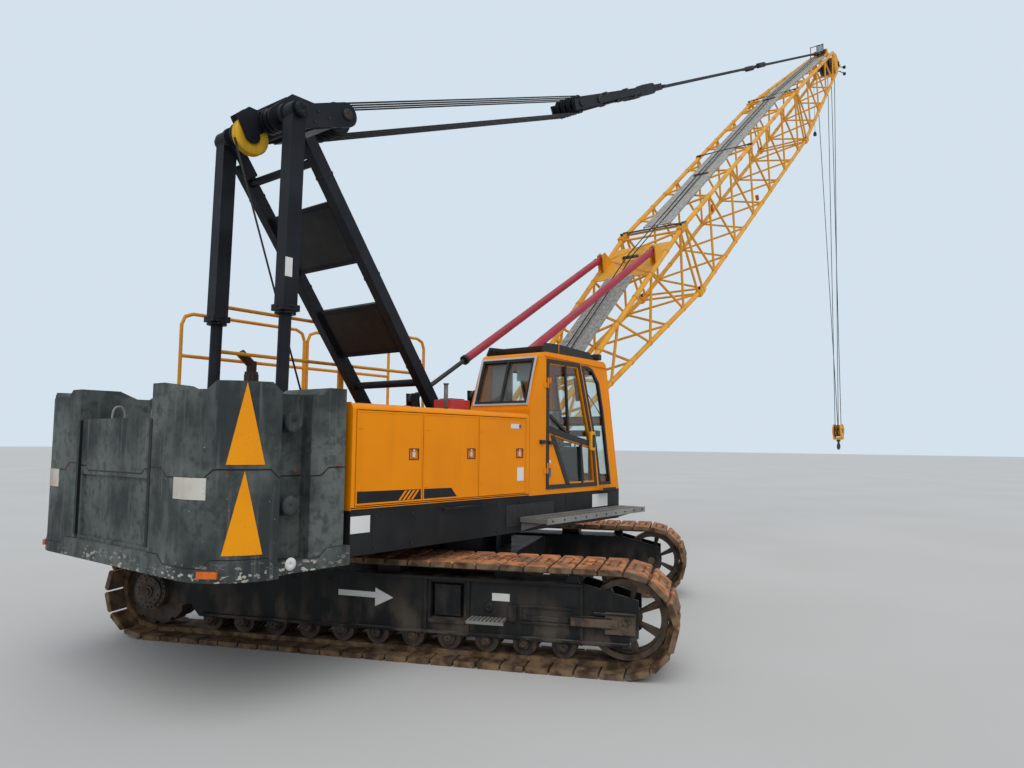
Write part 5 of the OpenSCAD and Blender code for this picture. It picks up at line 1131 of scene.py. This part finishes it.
# Hook block's sheave rims, caps and bolts, and the hook's collar and catch
block = Form()
for y in (-0.048, 0.048):
    for s in (-1, 1):
        flange = ((0.018, 0.13), (0.026, 0.13), (0.029, 0.190), (0.023, 0.194), (0.011, 0.171),
                  (0.018, 0.162))
        block.turned([(s * a, r) for a, r in flange], (LINE_X, y, SHEAVE_Z), ACROSS, 1, 36)
for y in (-0.14, 0.14):
    block.disc((LINE_X, y, SHEAVE_Z), ACROSS, (-0.008, 0.008), (CORE, 0.06), 1)
    for x, z in ((-0.15, 0.05), (0.15, 0.05), (-0.06, -0.24), (0.06, -0.24), (0, 0.17)):
        block.bolt((LINE_X + x, y, SHEAVE_Z + z), outward(y), 0.013, BOLT_H, 1)
block.done("hook_block_fittings", "yellow_paint dark_bolt", "hook_block", slot="boom_paint")

catch = Form()
catch.pipe([(LINE_X + x, 0, HOOK_Z + z) for x, z in ((0.03, 0.27), (-0.055, 0.21), (-0.08, 0.175))], 0.010)
catch.disc((LINE_X, 0, HOOK_Z + 0.30), UP, (-0.03, 0.0), (0.034, 0.058))
catch.done("hook_catch", "hook_steel", "hook")

# Winches: wound rope, flange bolts, brake cases and motors
for name, x in DRUMS:
    drum = Form()
    for i in range(29):
        turn = ((-0.0104, -0.002), (0.0104, -0.002), (0.0075, 0.014), (0, 0.020), (-0.0075, 0.014))
        drum.turned([(a, DRUM_R + r) for a, r in turn], (x, -0.294 + i * 0.021, DRUM_Z), ACROSS, 0, 28)
    for y in (-0.330, 0.330):
        drum.bolts((x, y, DRUM_Z), outward(y), 0.10, 10, 0.010, 0.010, 1)
        drum.disc((x, y, DRUM_Z), ACROSS, (-0.004, 0.004), (0.262, 0.288), 1, 36)
    drum.done(name + "_rope", "wound_rope drum_steel", name, slot="drum_steel")
cases = Form()
for _, x in DRUMS:
    cases.turned([(0.391, CORE), (0.470, CORE), (0.470, 0.080), (0.440, 0.115), (0.391, 0.12)],
                 (x, 0, DRUM_Z), OUT)
    cases.bolts((x, -0.455, DRUM_Z), OUT, 0.06, 6, 0.009, 0.018, 1)
    cases.turned([(0.391, CORE), (0.520, CORE), (0.520, 0.060), (0.430, 0.065), (0.430, 0.11), (0.391, 0.11)],
                 (x, 0, DRUM_Z), ACROSS)
cases.done("winch_cases", "drum_steel bolt_steel")

# Backstops: collars of the rods, collars and end rings of the tubes
stop_foot = Vector((-0.02, 0, 2.63))
stop = BOOM @ Vector((5.36, 0, 0.77)) - stop_foot
for name in ("rod", "tube"):
    collar = Form(leaning(stop_foot, math.atan2(stop.z, stop.x)))
    for y in (-0.53, 0.53):
        if name == "tube":
            collar.disc((1.172, y, 0), ALONG, (0.0, 0.05), (0.034, 0.070))
            collar.disc((stop.length - 0.25, y, 0), ALONG, (0.0, 0.02), (CORE, 0.066), 1)
        else:
            collar.disc((0.075, y, 0), ALONG, (0.0, 0.03), (0.028, 0.045))
    collar.done("backstop_collars_" + name, "guard_black red_paint", "backstop_" + name + "s",
                slot="rod_steel")

# Exhaust shield with its rods, air cleaner, lamp box and post on the housings' roofs
roofs = Form()
PIPE = Vector((-2.10, INNER_Y + 0.32, HOUSING_TOP))
roofs.disc(PIPE + Vector((0, 0, 0.14)), UP, (0.0, 0.30), (0.062, 0.074), 0, 28)
for i in range(8):
    a = math.tau * i / 8
    spot = PIPE + Vector((0.071 * math.cos(a), 0.071 * math.sin(a), 0))
    roofs.box(spot + Vector((-0.008, -0.008, 0.17)), spot + Vector((0.008, 0.008, 0.41)), 1, 0.003)
CLEANER = Vector((-1.55, INNER_Y + 0.36, HOUSING_TOP))
roofs.rod(CLEANER, CLEANER + Vector((0, 0, 0.16)), 0.060, 1, 20)
roofs.turned([(0.0, CORE), (0.12, CORE), (0.10, 0.075), (0.08, 0.11), (0.0, 0.12)],
             CLEANER + Vector((0, 0, 0.15)), UP, 1, 28)
roofs.box((-0.95, -0.99, HOUSING_TOP), (-0.62, -0.74, HOUSING_TOP + 0.14), 2, 0.012)
roofs.box((-0.90, -0.95, HOUSING_TOP + 0.138), (-0.67, -0.78, HOUSING_TOP + 0.152), 1, 0.004)
POST = Vector((-1.42, -1.36, HOUSING_TOP))
roofs.rod(POST, POST + Vector((0, 0, 0.25)), 0.022, 3, 12)
roofs.rod(POST + Vector((0, 0, 0.25)), POST + Vector((0, 0, 0.262)), 0.030, 3, 12)
roofs.done("roof_dress", "exhaust_steel guard_black red_lens trim_grey")

# Feet of the handrail with their bolts
feet = Form()
for y in (INNER_Y + 0.06, HALF - 0.06):
    for x, x0, x1 in ((-2.705, -0.025, 0.045), (-1.07, -0.045, 0.023), (-1.02, -0.023, 0.045),
                      (0.385, -0.045, 0.045)):
        feet.box((x + x0, y - 0.045, HOUSING_TOP), (x + x1, y + 0.045, HOUSING_TOP + 0.010), 0, 0.002)
        for dy in (-0.034, 0.034):
            feet.bolt((x, y + dy, HOUSING_TOP + 0.010), UP, 0.008, 0.008, 1)
feet.done("handrail_feet", "rail_paint bolt_steel")

# Catwalk edge, and the valves on the deck between the housings
walk = Form()
walk.box((-0.35, WALL - 0.366, DECK_Z + 0.10), (1.86, WALL - 0.352, DECK_Z + 0.165), 0, 0.003)
for i in range(10):
    walk.bolt((-0.25 + i * 0.225, WALL - 0.366, DECK_Z + 0.135), OUT, 0.010, 0.008, 1)
walk.done("catwalk_edge", "walk_paint dark_bolt", slot="frame_paint")

middle = Form()
middle.box((0.30, -0.46, DECK_TOP), (0.62, -0.10, DECK_TOP + 0.30), 0, 0.015)
middle.box((0.30, 0.08, DECK_TOP), (0.60, 0.44, DECK_TOP + 0.22), 1, 0.015)
for y in (-0.40, -0.33, -0.26, -0.19):
    middle.turned([(0.0, CORE), (0.04, CORE), (0.04, 0.022), (0.0, 0.026)], (0.46, y, DECK_TOP + 0.30),
                  UP, 2, 12)
middle.done("deck_valves", "engine_iron guard_black bolt_steel")

# Floor, light and camera
bpy.ops.mesh.primitive_plane_add(size=400, location=(0, 0, 0))
floor_piece = bpy.context.object
floor_piece.name = "floor"
ground = Surface("floor", 0.9)
ground.colour(ground.blend(ground.spots(0.25, 2, 0.3, 0.7), (0.53, 0.525, 0.51), (0.555, 0.55, 0.54)))
floor_piece.data.materials.append(ground.material)
floor_piece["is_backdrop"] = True

# The sky lights the machine as one colour and is seen, also through glass, as another
world = bpy.data.worlds.new("sky")
bpy.context.scene.world = world
world.use_nodes = True
sky = world.node_tree
light = sky.nodes["Background"]
seen, rays, either, choose = (sky.nodes.new("ShaderNode" + kind)
                              for kind in ("Background", "LightPath", "Math", "MixShader"))
for back, tint, strength in ((light, (0.86, 0.93, 1.0, 1), 0.68), (seen, (0.66, 0.76, 0.85, 1), 1.0)):
    back.inputs["Color"].default_value = tint
    back.inputs["Strength"].default_value = strength
either.operation = "MAXIMUM"
for source, slot in ((rays.outputs["Is Camera Ray"], either.inputs[0]),
                     (rays.outputs["Is Transmission Ray"], either.inputs[1]),
                     (either.outputs[0], choose.inputs[0]),
                     (light.outputs[0], choose.inputs[1]), (seen.outputs[0], choose.inputs[2]),
                     (choose.outputs[0], sky.nodes["World Output"].inputs[0])):
    sky.links.new(source, slot)

sun = bpy.data.lights.new("sun", "SUN")
sun.energy = 1.3
sun.angle = math.radians(70)
sun.color = (1.0, 0.98, 0.95)
sun_piece = bpy.data.objects.new("sun", sun)
sun_piece.rotation_euler = (math.radians(28), math.radians(-22), 0)
bpy.context.scene.collection.objects.link(sun_piece)

camera = bpy.data.cameras.new("camera")
FOCAL, PICTURE_WIDTH = 743.838, 1024
camera.sensor_width = 36
camera.lens = FOCAL * camera.sensor_width / PICTURE_WIDTH
camera.clip_end = 1000
view = bpy.data.objects.new("camera", camera)
bpy.context.scene.collection.objects.link(view)
forward = Vector((0.788680, 0.609713, 0.078952))
right = Vector((0.610980, -0.791586, 0.009784))
turn = Matrix((right, right.cross(forward), -forward)).transposed()
view.matrix_world = Matrix.Translation((-6.921, -6.451, 2.068)) @ turn.to_4x4()
bpy.context.scene.camera = view
bpy.context.scene.view_settings.view_transform = "Standard"

low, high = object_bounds()
